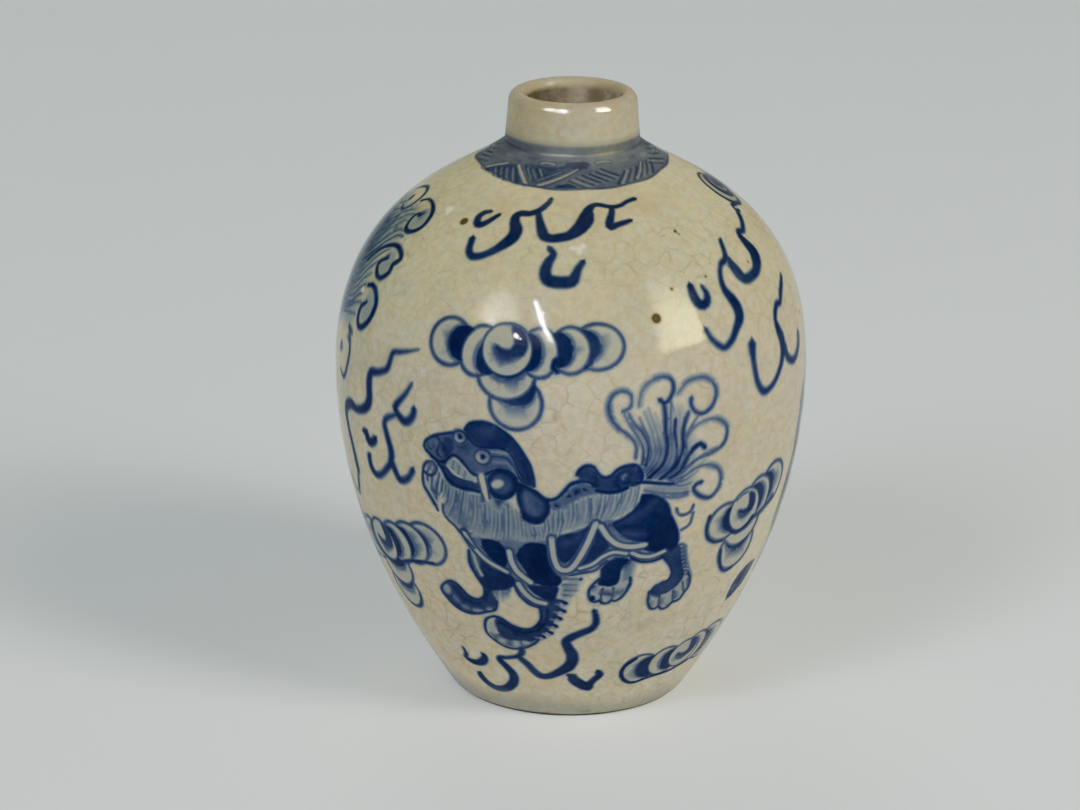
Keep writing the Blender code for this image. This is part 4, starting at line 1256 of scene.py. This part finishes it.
def strengths(x, y, layer):
    """How much of a layer lies at each place of the sheet."""
    amount = np.zeros(len(x))
    for mark in Pen.marks:
        if mark.layer != layer:
            continue
        for shift in copies(mark):
            p = mark.p + (shift, 0)
            lo, hi = p.min(0) - mark.reach, p.max(0) + mark.reach
            near = np.flatnonzero((x > lo[0]) & (x < hi[0]) & (y > lo[1]) & (y < hi[1]))
            if not len(near):
                continue
            share, ink = mark.strength(np.stack((x[near] - shift, y[near]), 1))
            if mark.cover:
                amount[near] += (ink - amount[near]) * share
            else:
                amount[near] = np.maximum(amount[near], ink * share)
    return amount


# How far the rings round the lip and under the foot ring reach, along the outline.
NECK_RINGS, LIP_RINGS, FOOT_RINGS = 1.6, 2.2, 4.2


def length_inside(height):
    """Length along the outline of a height on the inside of the neck."""
    part = slice(OUTSIDE_TOP, len(OUTLINE))
    return np.interp(-height, -OUTLINE[part, 1], LENGTH[part])


def ring_lengths():
    """Lengths along the outline of the rings above the painted wall, and of those below it."""
    top, end, bore = LENGTH[OUTSIDE_TOP], LENGTH[-1], length_inside(THROAT)
    stages = ((WALL_NECK, 0), (WALL_NECK + NECK_RINGS, 8), (top - LIP_RINGS, 4),
              (top + LIP_RINGS, 18), (bore, 4), (end - 0.5, 17))
    above = np.concatenate([np.linspace(first, last, count + 1)[1:]
                            for (first, _), (last, count) in zip(stages[:-1], stages[1:])])
    below = np.concatenate((np.linspace(WALL_FOOT, WALL_FOOT - FOOT_RINGS, 16)[1:],
                            np.linspace(WALL_FOOT - FOOT_RINGS, 0.5, 6)[1:]))
    return above, below


class Turned:
    """The places of the whole wall, with rings of faces added past its painted part. Each
    corner of those faces has a column and a length, for the layout."""

    def __init__(self, x, length):
        self.x, self.length = list(x), list(length)
        self.faces, self.corners = [], []

    def add(self, places, corners, upward):
        step = 1 if upward else -1
        self.faces.append(places[::step])
        self.corners.append(corners[::step])

    def rings(self, row, lengths, last, upward):
        """Rings from a row of places through each length, closed at a point at the last."""
        at = float(self.length[row[0]])
        for ahead in lengths:
            new = np.arange(len(self.x), len(self.x) + COLUMNS)
            self.x.extend(LEFT + GIRTH * np.arange(COLUMNS) / COLUMNS)
            self.length.extend([ahead] * COLUMNS)
            for j in range(COLUMNS):
                k = (j + 1) % COLUMNS
                self.add((row[j], row[k], new[k], new[j]),
                         ((j, at), (j + 1, at), (j + 1, ahead), (j, ahead)), upward)
            row, at = new, ahead
        apex = len(self.x)
        self.x.append(0.0)
        self.length.append(last)
        for j in range(COLUMNS):
            k = (j + 1) % COLUMNS
            self.add((row[j], row[k], apex), ((j, at), (j + 1, at), (j + 0.5, last)), upward)


def closed_cut(x, y):
    """For each place on the sheet, the one it is once the right edge meets the left edge."""
    same = np.arange(len(x))
    on_left, on_right = (np.flatnonzero(np.abs(x - side) < 1e-3) for side in (LEFT, CUT))
    assert len(on_left) == len(on_right)
    same[on_right[np.argsort(y[on_right])]] = on_left[np.argsort(y[on_left])]
    return same


def border(x, y, level):
    """The places along the foot or the neck border of the sheet, from left to right."""
    found = np.flatnonzero(np.abs(y - level) < 1e-3)
    assert len(found) == COLUMNS + 1
    return found[np.argsort(x[found])][:-1]


def masks(x, length):
    """What each place carries: the painted layers, and where the lip and the inside are."""
    painted = length < LENGTH[OUTSIDE_TOP] - 1.5
    y = np.where(painted, np.interp(length, LENGTH, SHEET), 1e6)
    found = {layer: strengths(x, y, layer) for layer in LAYERS}
    past = length - LENGTH[OUTSIDE_TOP]
    found["inside"] = np.clip((past - 1.2) / 0.5, 0, 1)
    found["lip"] = np.exp(-(((past + 0.2) / 1.7) ** 2))
    found["rim"] = np.clip((past + 2.6) / 0.5, 0, 1) * np.clip((0.2 - past) / 0.5, 0, 1)
    return found


def layout(flat, faces, corners):
    """Places on the unit square for each corner: the painted sheet, with bands for the rings
    below and above it."""
    wall_low, wall_high, edge = 0.07, 0.81, 0.01
    bands = ((0, WALL_FOOT - FOOT_RINGS, WALL_FOOT, WALL_NECK, LENGTH[OUTSIDE_TOP] + LIP_RINGS,
              length_inside(THROAT), LENGTH[-1]),
             (edge, 0.03, wall_low, wall_high, 0.91, 0.93, 1 - edge))
    sheet = flat[faces.ravel()] - (LEFT, SHEET_FOOT)
    sheet = sheet / (GIRTH, SHEET_NECK - SHEET_FOOT) * (1, wall_high - wall_low) + (0, wall_low)
    rest = np.array([(j / COLUMNS, at) for spots in corners for j, at in spots])
    rest[:, 1] = np.interp(rest[:, 1], *bands)
    uv = np.vstack((sheet, rest))
    uv[:, 0] = edge + (1 - 2 * edge) * uv[:, 0]
    return uv


def build_vase():
    """The whole wall: painted outside, neck, lip and inside, and the foot, closed in one mesh."""
    flat, faces = sheet_triangles()
    x, y = flat.T
    same = closed_cut(x, y)
    wall = Turned(x, np.interp(y, SHEET, LENGTH))
    above, below = ring_lengths()
    wall.rings(border(x, y, SHEET_NECK), above, LENGTH[-1], True)
    wall.rings(border(x, y, SHEET_FOOT), below, 0.0, False)

    # Places on the right edge of the sheet are dropped for those on the left.
    loops = [same[f] for f in faces] + [np.array(f) for f in wall.faces]
    used = np.unique(np.concatenate(loops))
    number = np.full(len(wall.x), -1)
    number[used] = np.arange(len(used))
    x, length = np.array(wall.x)[used], np.array(wall.length)[used]
    turn = x / BELLY_RADIUS

    mesh = bpy.data.meshes.new("vase_wall")
    mesh.from_pydata((surface(turn, length) * MM).tolist(), [], [number[f].tolist() for f in loops])
    mesh.update()
    for name, amount in masks(x, length).items():
        attribute = mesh.attributes.new(name, "FLOAT", "POINT")
        attribute.data.foreach_set("value", amount.astype(np.float32))
    uv = layout(flat, faces, wall.corners)
    mesh.uv_layers.new(name="OFBake").data.foreach_set("uv", uv.astype(np.float32).ravel())
    mesh.polygons.foreach_set("use_smooth", [True] * len(mesh.polygons))
    mesh.normals_split_custom_set_from_vertices(surface_normals(turn, length).tolist())

    vase = bpy.data.objects.new("painted_vase", mesh)
    bpy.context.scene.collection.objects.link(vase)
    print("vase mesh:", len(mesh.vertices), "vertices,", len(mesh.polygons), "faces")
    return vase


# ---------------------------------------------------------------- finishes

# Bare glaze, and the cooler white that it is over the painting.
CREAM = (0.448, 0.360, 0.216)
CREAM_GREY = (0.352, 0.311, 0.213)
CREAM_PALE = (0.496, 0.430, 0.268)
CREAM_BROWN = (0.36, 0.235, 0.115)
COOL = (0.424, 0.404, 0.276)
POOLED = (0.145, 0.150, 0.165)
# What a full load of cobalt lets through of red, green and blue, and how much ink is none.
INK_THROUGH = (0.011, 0.020, 0.165)
INK_LEAST = 0.035
# Stains, spots and wear, with painted shade at the foot and inside the neck, and a painted glint on some
# pits.
STAIN = (0.18, 0.150, 0.106)
IRON = (0.03, 0.018, 0.005)
CLAY = (0.26, 0.13, 0.07)
# Pale pits, and the painted glint on one cluster of them.
PIT_AND_GLINT = (0.72, 0.65, 0.38)
WORN = (0.33, 0.225, 0.125)
# Grime, painted near black to stand for the shadow under the foot.
GRIME_AND_SHADE = (0.035, 0.026, 0.018)
# Painted shade: the dim brown inside of the neck.
INSIDE_SHADE = ((0.095, 0.072, 0.046), (0.21, 0.166, 0.125))
GLAZE_ROUGH, BARE_ROUGH = 0.038, 0.9


class Graph:
    """Short ways to add and join shader nodes."""

    def __init__(self, tree):
        self.tree = tree

    def node(self, kind, **settings):
        made = self.tree.nodes.new("ShaderNode" + kind)
        for name, value in settings.items():
            setattr(made, name, value)
        return made

    def put(self, socket, value):
        if isinstance(value, bpy.types.NodeSocket):
            self.tree.links.new(value, socket)
        elif isinstance(value, (tuple, list)) and len(value) == 3 and socket.type == "RGBA":
            socket.default_value = (*value, 1.0)
        else:
            socket.default_value = value

    def math(self, operation, *values, clamp=False):
        node = self.node("Math", operation=operation, use_clamp=clamp)
        for socket, value in zip(node.inputs, values):
            self.put(socket, value)
        return node.outputs[0]

    def mix(self, share, first, second, blend="MIX"):
        node = self.node("Mix", data_type="RGBA", blend_type=blend)
        self.put(node.inputs[0], share)
        self.put(node.inputs[6], first)
        self.put(node.inputs[7], second)
        return node.outputs[2]

    def ranged(self, value, low, high, to_low=0.0, to_high=1.0, smooth=True):
        node = self.node("MapRange", interpolation_type="SMOOTHSTEP" if smooth else "LINEAR")
        for socket, item in zip(node.inputs, (value, low, high, to_low, to_high)):
            self.put(socket, item)
        return node.outputs[0]

    def noise(self, vector, scale, detail=2.0, rough=0.5):
        node = self.node("TexNoise")
        self.put(node.inputs["Vector"], vector)
        self.put(node.inputs["Scale"], scale)
        self.put(node.inputs["Detail"], detail)
        self.put(node.inputs["Roughness"], rough)
        return node.outputs["Fac"]

    def attribute(self, name):
        return self.node("Attribute", attribute_name=name).outputs["Fac"]


def group(name, sockets):
    """A node group with sockets given as (in or out, kind, name)."""
    tree = bpy.data.node_groups.new(name, "ShaderNodeTree")
    kinds = {"value": "NodeSocketFloat", "colour": "NodeSocketColor", "vector": "NodeSocketVector"}
    for side, kind, label in sockets:
        tree.interface.new_socket(label, in_out=side, socket_type=kinds[kind])
    return tree, tree.nodes.new("NodeGroupInput").outputs, tree.nodes.new("NodeGroupOutput").inputs


def crackle_group():
    """The net of fine cracks: a mask of the lines and a height for the bump."""
    tree, given, out = group("crackle", [("INPUT", "vector", "Position"),
                                         ("OUTPUT", "value", "Lines"),
                                         ("OUTPUT", "value", "Height")])
    g = Graph(tree)
    wander = g.node("TexNoise")
    g.put(wander.inputs["Vector"], given["Position"])
    g.put(wander.inputs["Scale"], 260.0)
    g.put(wander.inputs["Detail"], 1.5)
    shift = g.node("VectorMath", operation="MULTIPLY_ADD")
    g.put(shift.inputs[0], wander.outputs["Color"])
    shift.inputs[1].default_value = (0.0021, 0.0021, 0.0021)
    g.put(shift.inputs[2], given["Position"])
    where = shift.outputs[0]
    strength = g.ranged(g.noise(given["Position"], 95.0, 3.0), 0.34, 0.66, 0.35, 1.0)
    broken = g.ranged(g.noise(given["Position"], 700.0, 3.0, 0.65), 0.40, 0.58, 0.3, 1.0)
    total = None
    for scale, width, weight in ((420.0, 0.07, 1.0), (850.0, 0.08, 0.4)):
        cells = g.node("TexVoronoi", feature="DISTANCE_TO_EDGE")
        g.put(cells.inputs["Vector"], where)
        g.put(cells.inputs["Scale"], scale)
        g.put(cells.inputs["Randomness"], 0.92)
        line = g.ranged(cells.outputs["Distance"], 0.0, width, 1.0, 0.0)
        line = g.math("MULTIPLY", line, weight)
        total = line if total is None else g.math("MAXIMUM", total, line)
    lines = g.math("MULTIPLY", g.math("MULTIPLY", total, strength), broken)
    g.put(out["Lines"], lines)
    g.put(out["Height"], g.math("MULTIPLY", lines, -1.0))
    return tree


def cobalt_group():
    """Cobalt under glaze: the ground seen through more or less of it. Under the painting the
    ground is a cooler white than where the glaze lies bare."""
    tree, given, out = group("cobalt", [("INPUT", "colour", "Ground"), ("INPUT", "colour", "Cool"),
                                        ("INPUT", "value", "Ink"), ("INPUT", "vector", "Position"),
                                        ("OUTPUT", "colour", "Colour"),
                                        ("OUTPUT", "value", "Amount")])
    g = Graph(tree)
    ink = g.math("MULTIPLY", g.math("SUBTRACT", given["Ink"], INK_LEAST, clamp=True), 1.036)
    broad = g.noise(given["Position"], 330.0, 3.0, 0.55)
    fine = g.noise(given["Position"], 1500.0, 2.0, 0.6)
    pooled = g.math("ADD", g.math("MULTIPLY", broad, 0.6), g.math("MULTIPLY", fine, 0.3))
    amount = g.math("MULTIPLY", ink, g.math("ADD", pooled, 0.56))
    cooled = g.math("MULTIPLY", g.math("MULTIPLY", ink, 6.0, clamp=True), 0.88)
    separate = g.node("SeparateColor")
    g.put(separate.inputs[0], g.mix(cooled, given["Ground"], given["Cool"]))
    join = g.node("CombineColor")
    for i, through in enumerate(INK_THROUGH):
        seen = g.math("POWER", through, amount)
        g.put(join.inputs[i], g.math("MULTIPLY", separate.outputs[i], seen))
    g.put(out["Colour"], join.outputs[0])
    g.put(out["Amount"], amount)
    return tree


def simple_finish(name, colour, roughness):
    material = bpy.data.materials.new(name)
    material.use_nodes = True
    shader = material.node_tree.nodes["Principled BSDF"]
    shader.inputs["Base Color"].default_value = (*colour, 1.0)
    shader.inputs["Roughness"].default_value = roughness
    return material


def bare_ground(g, place, up):
    """Cream, greyer in drifts and paler in others, finely mottled, browner in patches above."""
    ground = g.mix(g.ranged(g.noise(place, 38.0, 4.0, 0.55), 0.42, 0.68), CREAM, CREAM_PALE)
    ground = g.mix(g.ranged(g.noise(place, 62.0, 5.0, 0.6), 0.5, 0.74, 0.0, 0.8), ground, CREAM_GREY)
    for scale, detail, rough, low, high, darker, lighter in (
        (560.0, 3.0, 0.6, 0.34, 0.66, (1.05, 0.99, 0.90), (0.95, 1.0, 1.08)),
        (1150.0, 4.0, 0.65, 0.32, 0.68, (0.89, 0.88, 0.85), (1.10, 1.10, 1.11)),
    ):
        speckle = g.ranged(g.noise(place, scale, detail, rough), low, high)
        ground = g.mix(1.0, ground, g.mix(speckle, darker, lighter), "MULTIPLY")
    patch = g.math("MULTIPLY", g.ranged(g.noise(place, 120.0, 4.0, 0.62), 0.5, 0.72, 0.0, 0.42),
                   g.ranged(up, 0.03, 0.055, 0.25, 1.0))
    return g.mix(patch, ground, CREAM_BROWN)


def painted(g, place, up, ground):
    """The cobalt over the ground, yellower high on the shoulder and greyer on the neck."""
    yellow = g.mix(g.ranged(up, 0.040, 0.058), (1.0, 1.0, 1.0), (1.0, 1.0, 0.78))
    neck = NECK_FOOT * MM
    # Darker and greyer on the neck.
    neck_darker = g.mix(g.ranged(up, neck - 0.0006, neck + 0.0002), yellow, (0.74, 0.76, 0.74))
    under = g.mix(g.ranged(up, 0.0568, 0.0594), yellow, (1.0, 0.87, 0.64))
    paint = g.node("Group", node_tree=cobalt_group())
    g.put(paint.inputs["Ground"], g.mix(1.0, ground, neck_darker, "MULTIPLY"))
    g.put(paint.inputs["Cool"], g.mix(1.0, COOL, under, "MULTIPLY"))
    g.put(paint.inputs["Ink"], g.attribute("ink"))
    g.put(paint.inputs["Position"], place)
    return paint.outputs["Colour"]


def worn_pooled_and_shaded_inside(g, place, up, across, shade):
    """Thick grey glaze at the foot, a brown worn lip, and painted shade inside the neck, painted lighter on
    the right where light from the left falls in.
    """
    drift = g.math("MULTIPLY", g.noise(place, 90.0, 2.0), 0.004)
    shade = g.mix(g.ranged(g.math("ADD", up, drift), 0.003, 0.006, 0.7, 0.0), shade, POOLED)
    worn = g.math("MULTIPLY", g.attribute("lip"), g.ranged(g.noise(place, 200.0, 4.0, 0.6), 0.34, 0.58))
    shade = g.mix(g.math("MULTIPLY", worn, 0.8), shade, WORN)
    # Painted shade inside the neck, with painted light on its right side.
    dim = g.mix(g.ranged(g.noise(place, 300.0, 4.0, 0.6), 0.35, 0.7), *INSIDE_SHADE)
    lit = g.mix(g.ranged(across, -0.004, 0.005), (0.6, 0.6, 0.58), (2.1, 2.1, 2.1))
    return g.mix(g.attribute("inside"), shade, g.mix(1.0, dim, lit, "MULTIPLY"))


def grain(g, place, crack_height):
    """The glaze's slight unevenness and its cracks, as a normal."""
    bump = g.node("Bump")
    bump.inputs["Strength"].default_value = 0.04
    bump.inputs["Distance"].default_value = 0.00005
    wave = g.math("MULTIPLY", g.noise(place, 190.0, 2.0, 0.5), 3.0)
    wave = g.math("ADD", wave, g.math("MULTIPLY", g.noise(place, 420.0, 3.0, 0.6), 0.9))
    g.put(bump.inputs["Height"], g.math("MULTIPLY_ADD", crack_height, 2.0, wave))
    return bump.outputs["Normal"]


def glaze():
    """Cream crackled glaze over the painting, with grime and painted shade on the bare clay below its edge.
    """
    material = simple_finish("crackle_glaze", CREAM, 0.11)
    shader = material.node_tree.nodes["Principled BSDF"]
    g = Graph(material.node_tree)
    place = g.node("TexCoord").outputs["Object"]
    sides = g.node("SeparateXYZ")
    g.put(sides.inputs[0], place)
    across, up = sides.outputs["X"], sides.outputs["Z"]
    crackle = g.node("Group", node_tree=crackle_group())
    g.put(crackle.inputs["Position"], place)

    stained = g.ranged(g.noise(place, 55.0, 3.0, 0.5), 0.38, 0.66, 0.34, 0.68)
    stained = g.math("MULTIPLY", stained, g.ranged(up, 0.0575, 0.0595, 1.0, 0.3))
    stained = g.math("MULTIPLY", crackle.outputs["Lines"], stained)
    ground = g.mix(stained, bare_ground(g, place, up), STAIN)
    iron = g.attribute("iron")
    shade = g.mix(iron, painted(g, place, up, ground), IRON)
    shade = g.mix(g.attribute("clay"), shade, CLAY)
    # Pale pits, with a painted glint on one cluster.
    shade = g.mix(g.math("MULTIPLY", g.attribute("pit"), 0.9), shade, PIT_AND_GLINT)
    shade = worn_pooled_and_shaded_inside(g, place, up, across, shade)
    # Grime at the glaze line and below it, painted near black as the shadow under the foot.
    wavy = g.math("ADD", up, g.math("MULTIPLY", g.noise(place, 120.0, 2.0), 0.0004))
    grime_and_shade = g.ranged(wavy, 0.00035, 0.0008, 1.0, 0.0)
    shade = g.mix(g.math("MULTIPLY", grime_and_shade, 0.9), shade, GRIME_AND_SHADE)
    g.put(shader.inputs["Base Color"], shade)

    # Duller where the neck joins the shoulder.
    waist = g.math("ABSOLUTE", g.math("SUBTRACT", up, NECK_FOOT * MM))
    dull = g.math("MAXIMUM", g.math("MAXIMUM", iron, grime_and_shade), g.ranged(waist, 0.0006, 0.0018, 0.5, 0.0))
    g.put(shader.inputs["Roughness"], g.ranged(dull, 0.0, 1.0, GLAZE_ROUGH, BARE_ROUGH, smooth=False))
    shader.inputs["Specular IOR Level"].default_value = 0.02
    g.put(shader.inputs["Coat Weight"], g.math("MULTIPLY", g.attribute("rim"), 0.24))
    shader.inputs["Coat IOR"].default_value = 1.9
    shader.inputs["Coat Roughness"].default_value = 0.04
    g.put(shader.inputs["Normal"], grain(g, place, crackle.outputs["Height"]))
    return material


# ---------------------------------------------------------------- stage, light and camera

def build_stage():
    """A pale floor that sweeps up into a backdrop."""
    profile = [(-1.5, 0.0), (1.2, 0.0)]
    profile += [(1.2 + 0.5 * math.sin(a), 0.5 - 0.5 * math.cos(a))
                for a in np.radians(np.linspace(5, 90, 16))]
    profile += [(1.7, 1.6)]
    width = 2.0
    verts = [(side * width, y, z) for y, z in profile for side in (-1, 1)]
    faces = [(2 * i, 2 * i + 1, 2 * i + 3, 2 * i + 2) for i in range(len(profile) - 1)]
    mesh = bpy.data.meshes.new("floor")
    mesh.from_pydata(verts, [], faces)
    mesh.polygons.foreach_set("use_smooth", [True] * len(mesh.polygons))
    floor = bpy.data.objects.new("floor", mesh)
    paper = simple_finish("pale_paper", (0.82, 0.82, 0.83), 1.0)
    paper.node_tree.nodes["Principled BSDF"].inputs["Specular IOR Level"].default_value = 0.0
    floor.data.materials.append(paper)
    bpy.context.scene.collection.objects.link(floor)


# Height on the vase from which the lights' directions are taken.
LIT_HEIGHT = 0.04


def direction(azimuth, elevation):
    """Unit vector: azimuth in degrees from the front towards the right, and elevation."""
    a, e = math.radians(azimuth), math.radians(elevation)
    return Vector((math.sin(a) * math.cos(e), -math.cos(a) * math.cos(e), math.sin(e)))


def panel(name, corners, distance, radiance, colour, diffuse=True, gleam=True, fade=0.05):
    """A light that fills four directions (azimuth, elevation) as seen from the vase: top left,
    top right, bottom left and bottom right. It dims towards its left, right, lower and upper
    edges over shares of its size. It may light the vase without being mirrored in the glaze,
    or the other way about."""
    ways = [direction(*c) for c in corners]
    back = sum(ways, Vector()).normalized()
    spots = [w * (distance / w.dot(back)) for w in ways]
    tl, tr, bl, br = spots
    rise = (tl - bl) + (tr - br)
    up = (rise - back * rise.dot(back)).normalized()
    right = up.cross(back)
    flat = [(s.dot(right), s.dot(up)) for s in spots]
    low = [min(q[i] for q in flat) for i in (0, 1)]
    size = [max(q[i] for q in flat) - low[i] for i in (0, 1)]
    data = bpy.data.lights.new(name, "AREA")
    data.shape, data.size, data.size_y = "RECTANGLE", *size
    data.energy = radiance * math.pi * size[0] * size[1]
    data.color = colour
    data.use_nodes = True
    g = Graph(data.node_tree)
    sides = g.node("SeparateXYZ")
    g.put(sides.inputs[0], g.node("NewGeometry").outputs["Parametric"])
    tl, tr, bl, br = [tuple((q[i] - low[i]) / size[i] for i in (0, 1)) for q in flat]
    share = 1.0
    for (a, b), width in zip(((bl, tl), (tr, br), (br, bl), (tl, tr)), np.broadcast_to(fade, 4)):
        # Distance inside the edge from a to b, as a share of the light's size.
        ex, ey = b[0] - a[0], b[1] - a[1]
        length = math.hypot(ex, ey)
        nx, ny = ey / length, -ex / length
        inward = g.math("MULTIPLY_ADD", sides.outputs[0], nx, -(a[0] * nx + a[1] * ny))
        inward = g.math("MULTIPLY_ADD", sides.outputs[1], ny, inward)
        share = g.math("MULTIPLY", share, g.ranged(inward, 0.0, max(float(width), 1e-3)))
    g.put(data.node_tree.nodes["Emission"].inputs["Strength"], share)
    light = bpy.data.objects.new(name, data)
    light.visible_diffuse, light.visible_glossy = diffuse, gleam
    bpy.context.scene.collection.objects.link(light)
    turn = Matrix((right, up, back)).transposed()
    middle = back * distance + sum(((low[i] + size[i] / 2) * axis for i, axis in
                                    enumerate((right, up))), Vector())
    light.matrix_world = Matrix.Translation(middle + Vector((0, 0, LIT_HEIGHT))) @ turn.to_4x4()


def build_lights():
    """The room's two windows and its lamp. The glaze mirrors panels that shed no light on the
    vase, and is lit by panels that it doesn't mirror."""
    window = ((56, 54), (79, 37), (38, 13), (65, 9))
    sky = ((-44, 52), (-12, 54), (-46, 20), (-14, 18))
    panel("window", window, 1.3, 34.0, (0.89, 1.0, 0.88), diffuse=False)
    panel("sky", sky, 1.3, 18.5, (1.0, 0.93, 0.88), diffuse=False)
    for name, corners, distance, radiance, colour, fade in (
        ("key", ((43, 46), (65, 50), (43, 20), (65, 24)), 0.65, 31.5, (0.94, 1.0, 0.88),
         (0.05, 0.05, 0.1, 0.2)),
        ("fill", ((-50, 48), (-28, 48), (-50, 24), (-28, 24)), 2.2, 19.5, (0.87, 1.0, 1.02), 0.05),
        ("low_sky", ((-72, 22), (-40, 22), (-72, 8), (-40, 8)), 2.2, 1.5, (0.35, 0.55, 1.0), 0.05),
        ("behind", ((178, 55), (212, 55), (178, 30), (212, 30)), 1.3, 5.6, (0.82, 1.0, 0.84), 0.05),
    ):
        panel(name, corners, distance, radiance, colour, gleam=False, fade=fade)
    # Brighter parts of the windows, the lamp and its tube.
    for name, corners, radiance, colour, fade in (
        ("window_gleam", ((51, 54), (75, 46.5), (41, 12), (70.3, 10.3)), 750.0, (1.0, 0.91, 0.13),
         (0.3, 0.08, 0.05, 0.6)),
        ("window_upper", ((57, 66), (93, 50), (47, 40), (80, 38)), 108.0, (1.0, 0.93, 0.5),
         (0.3, 0.3, 0.3, 0.5)),
        ("sky_gleam", ((-62, 57), (-42, 60), (-60, 26), (-25, 32)), 435.0, (1.0, 0.93, 0.4),
         (0.35, 0.35, 0.12, 0.9)),
        ("sky_spot", ((-50, 35), (-42, 36), (-50, 27), (-41, 27)), 780.0, (1.0, 0.95, 0.6),
         (0.4, 0.4, 0.3, 0.5)),
        ("tube", ((-24.7, 46.6), (-23.7, 46.6), (-10.8, 22.2), (-10.0, 22.2)), 40000.0, (1, 1, 0.85),
         (0.3, 0.3, 0.02, 0.02)),
        ("lamp", ((-30, 24.8), (-27.6, 24.8), (-30, 23.2), (-27.6, 23.2)), 15000.0, (1, 1, 1), 0.2),
    ):
        panel(name, corners, 1.25, radiance, colour, diffuse=False, fade=fade)
    world = bpy.data.worlds.new("room")
    world.use_nodes = True
    background = world.node_tree.nodes["Background"]
    background.inputs["Color"].default_value = (1.0, 0.9, 0.8, 1)
    background.inputs["Strength"].default_value = 0.02
    bpy.context.scene.world = world


def build_camera():
    """Looks down on the front from under half a metre away, the vase just right of centre."""
    distance, rise = 0.440, 0.18157
    yaw, pitch, roll = -0.00786, 0.32589, 0.00613
    ahead = Vector((math.sin(yaw) * math.cos(pitch), math.cos(yaw) * math.cos(pitch),
                    -math.sin(pitch)))
    level = Vector((math.cos(yaw), -math.sin(yaw), 0))
    up = level.cross(ahead)
    right = math.cos(roll) * level + math.sin(roll) * up
    up = math.cos(roll) * up - math.sin(roll) * level
    data = bpy.data.cameras.new("camera")
    data.sensor_width, data.lens = 36.0, 135.33
    data.clip_start, data.clip_end = 0.01, 20.0
    camera = bpy.data.objects.new("camera", data)
    turn = Matrix((right, up, -ahead)).transposed()
    camera.matrix_world = Matrix.Translation((0, -distance, rise)) @ turn.to_4x4()
    bpy.context.scene.collection.objects.link(camera)
    bpy.context.scene.camera = camera


def main():
    build_camera()
    build_stage()
    build_lights()
    paint_all()
    vase = build_vase()
    vase.data.materials.append(glaze())
    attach(vase, "root")
    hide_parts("vase")


main()
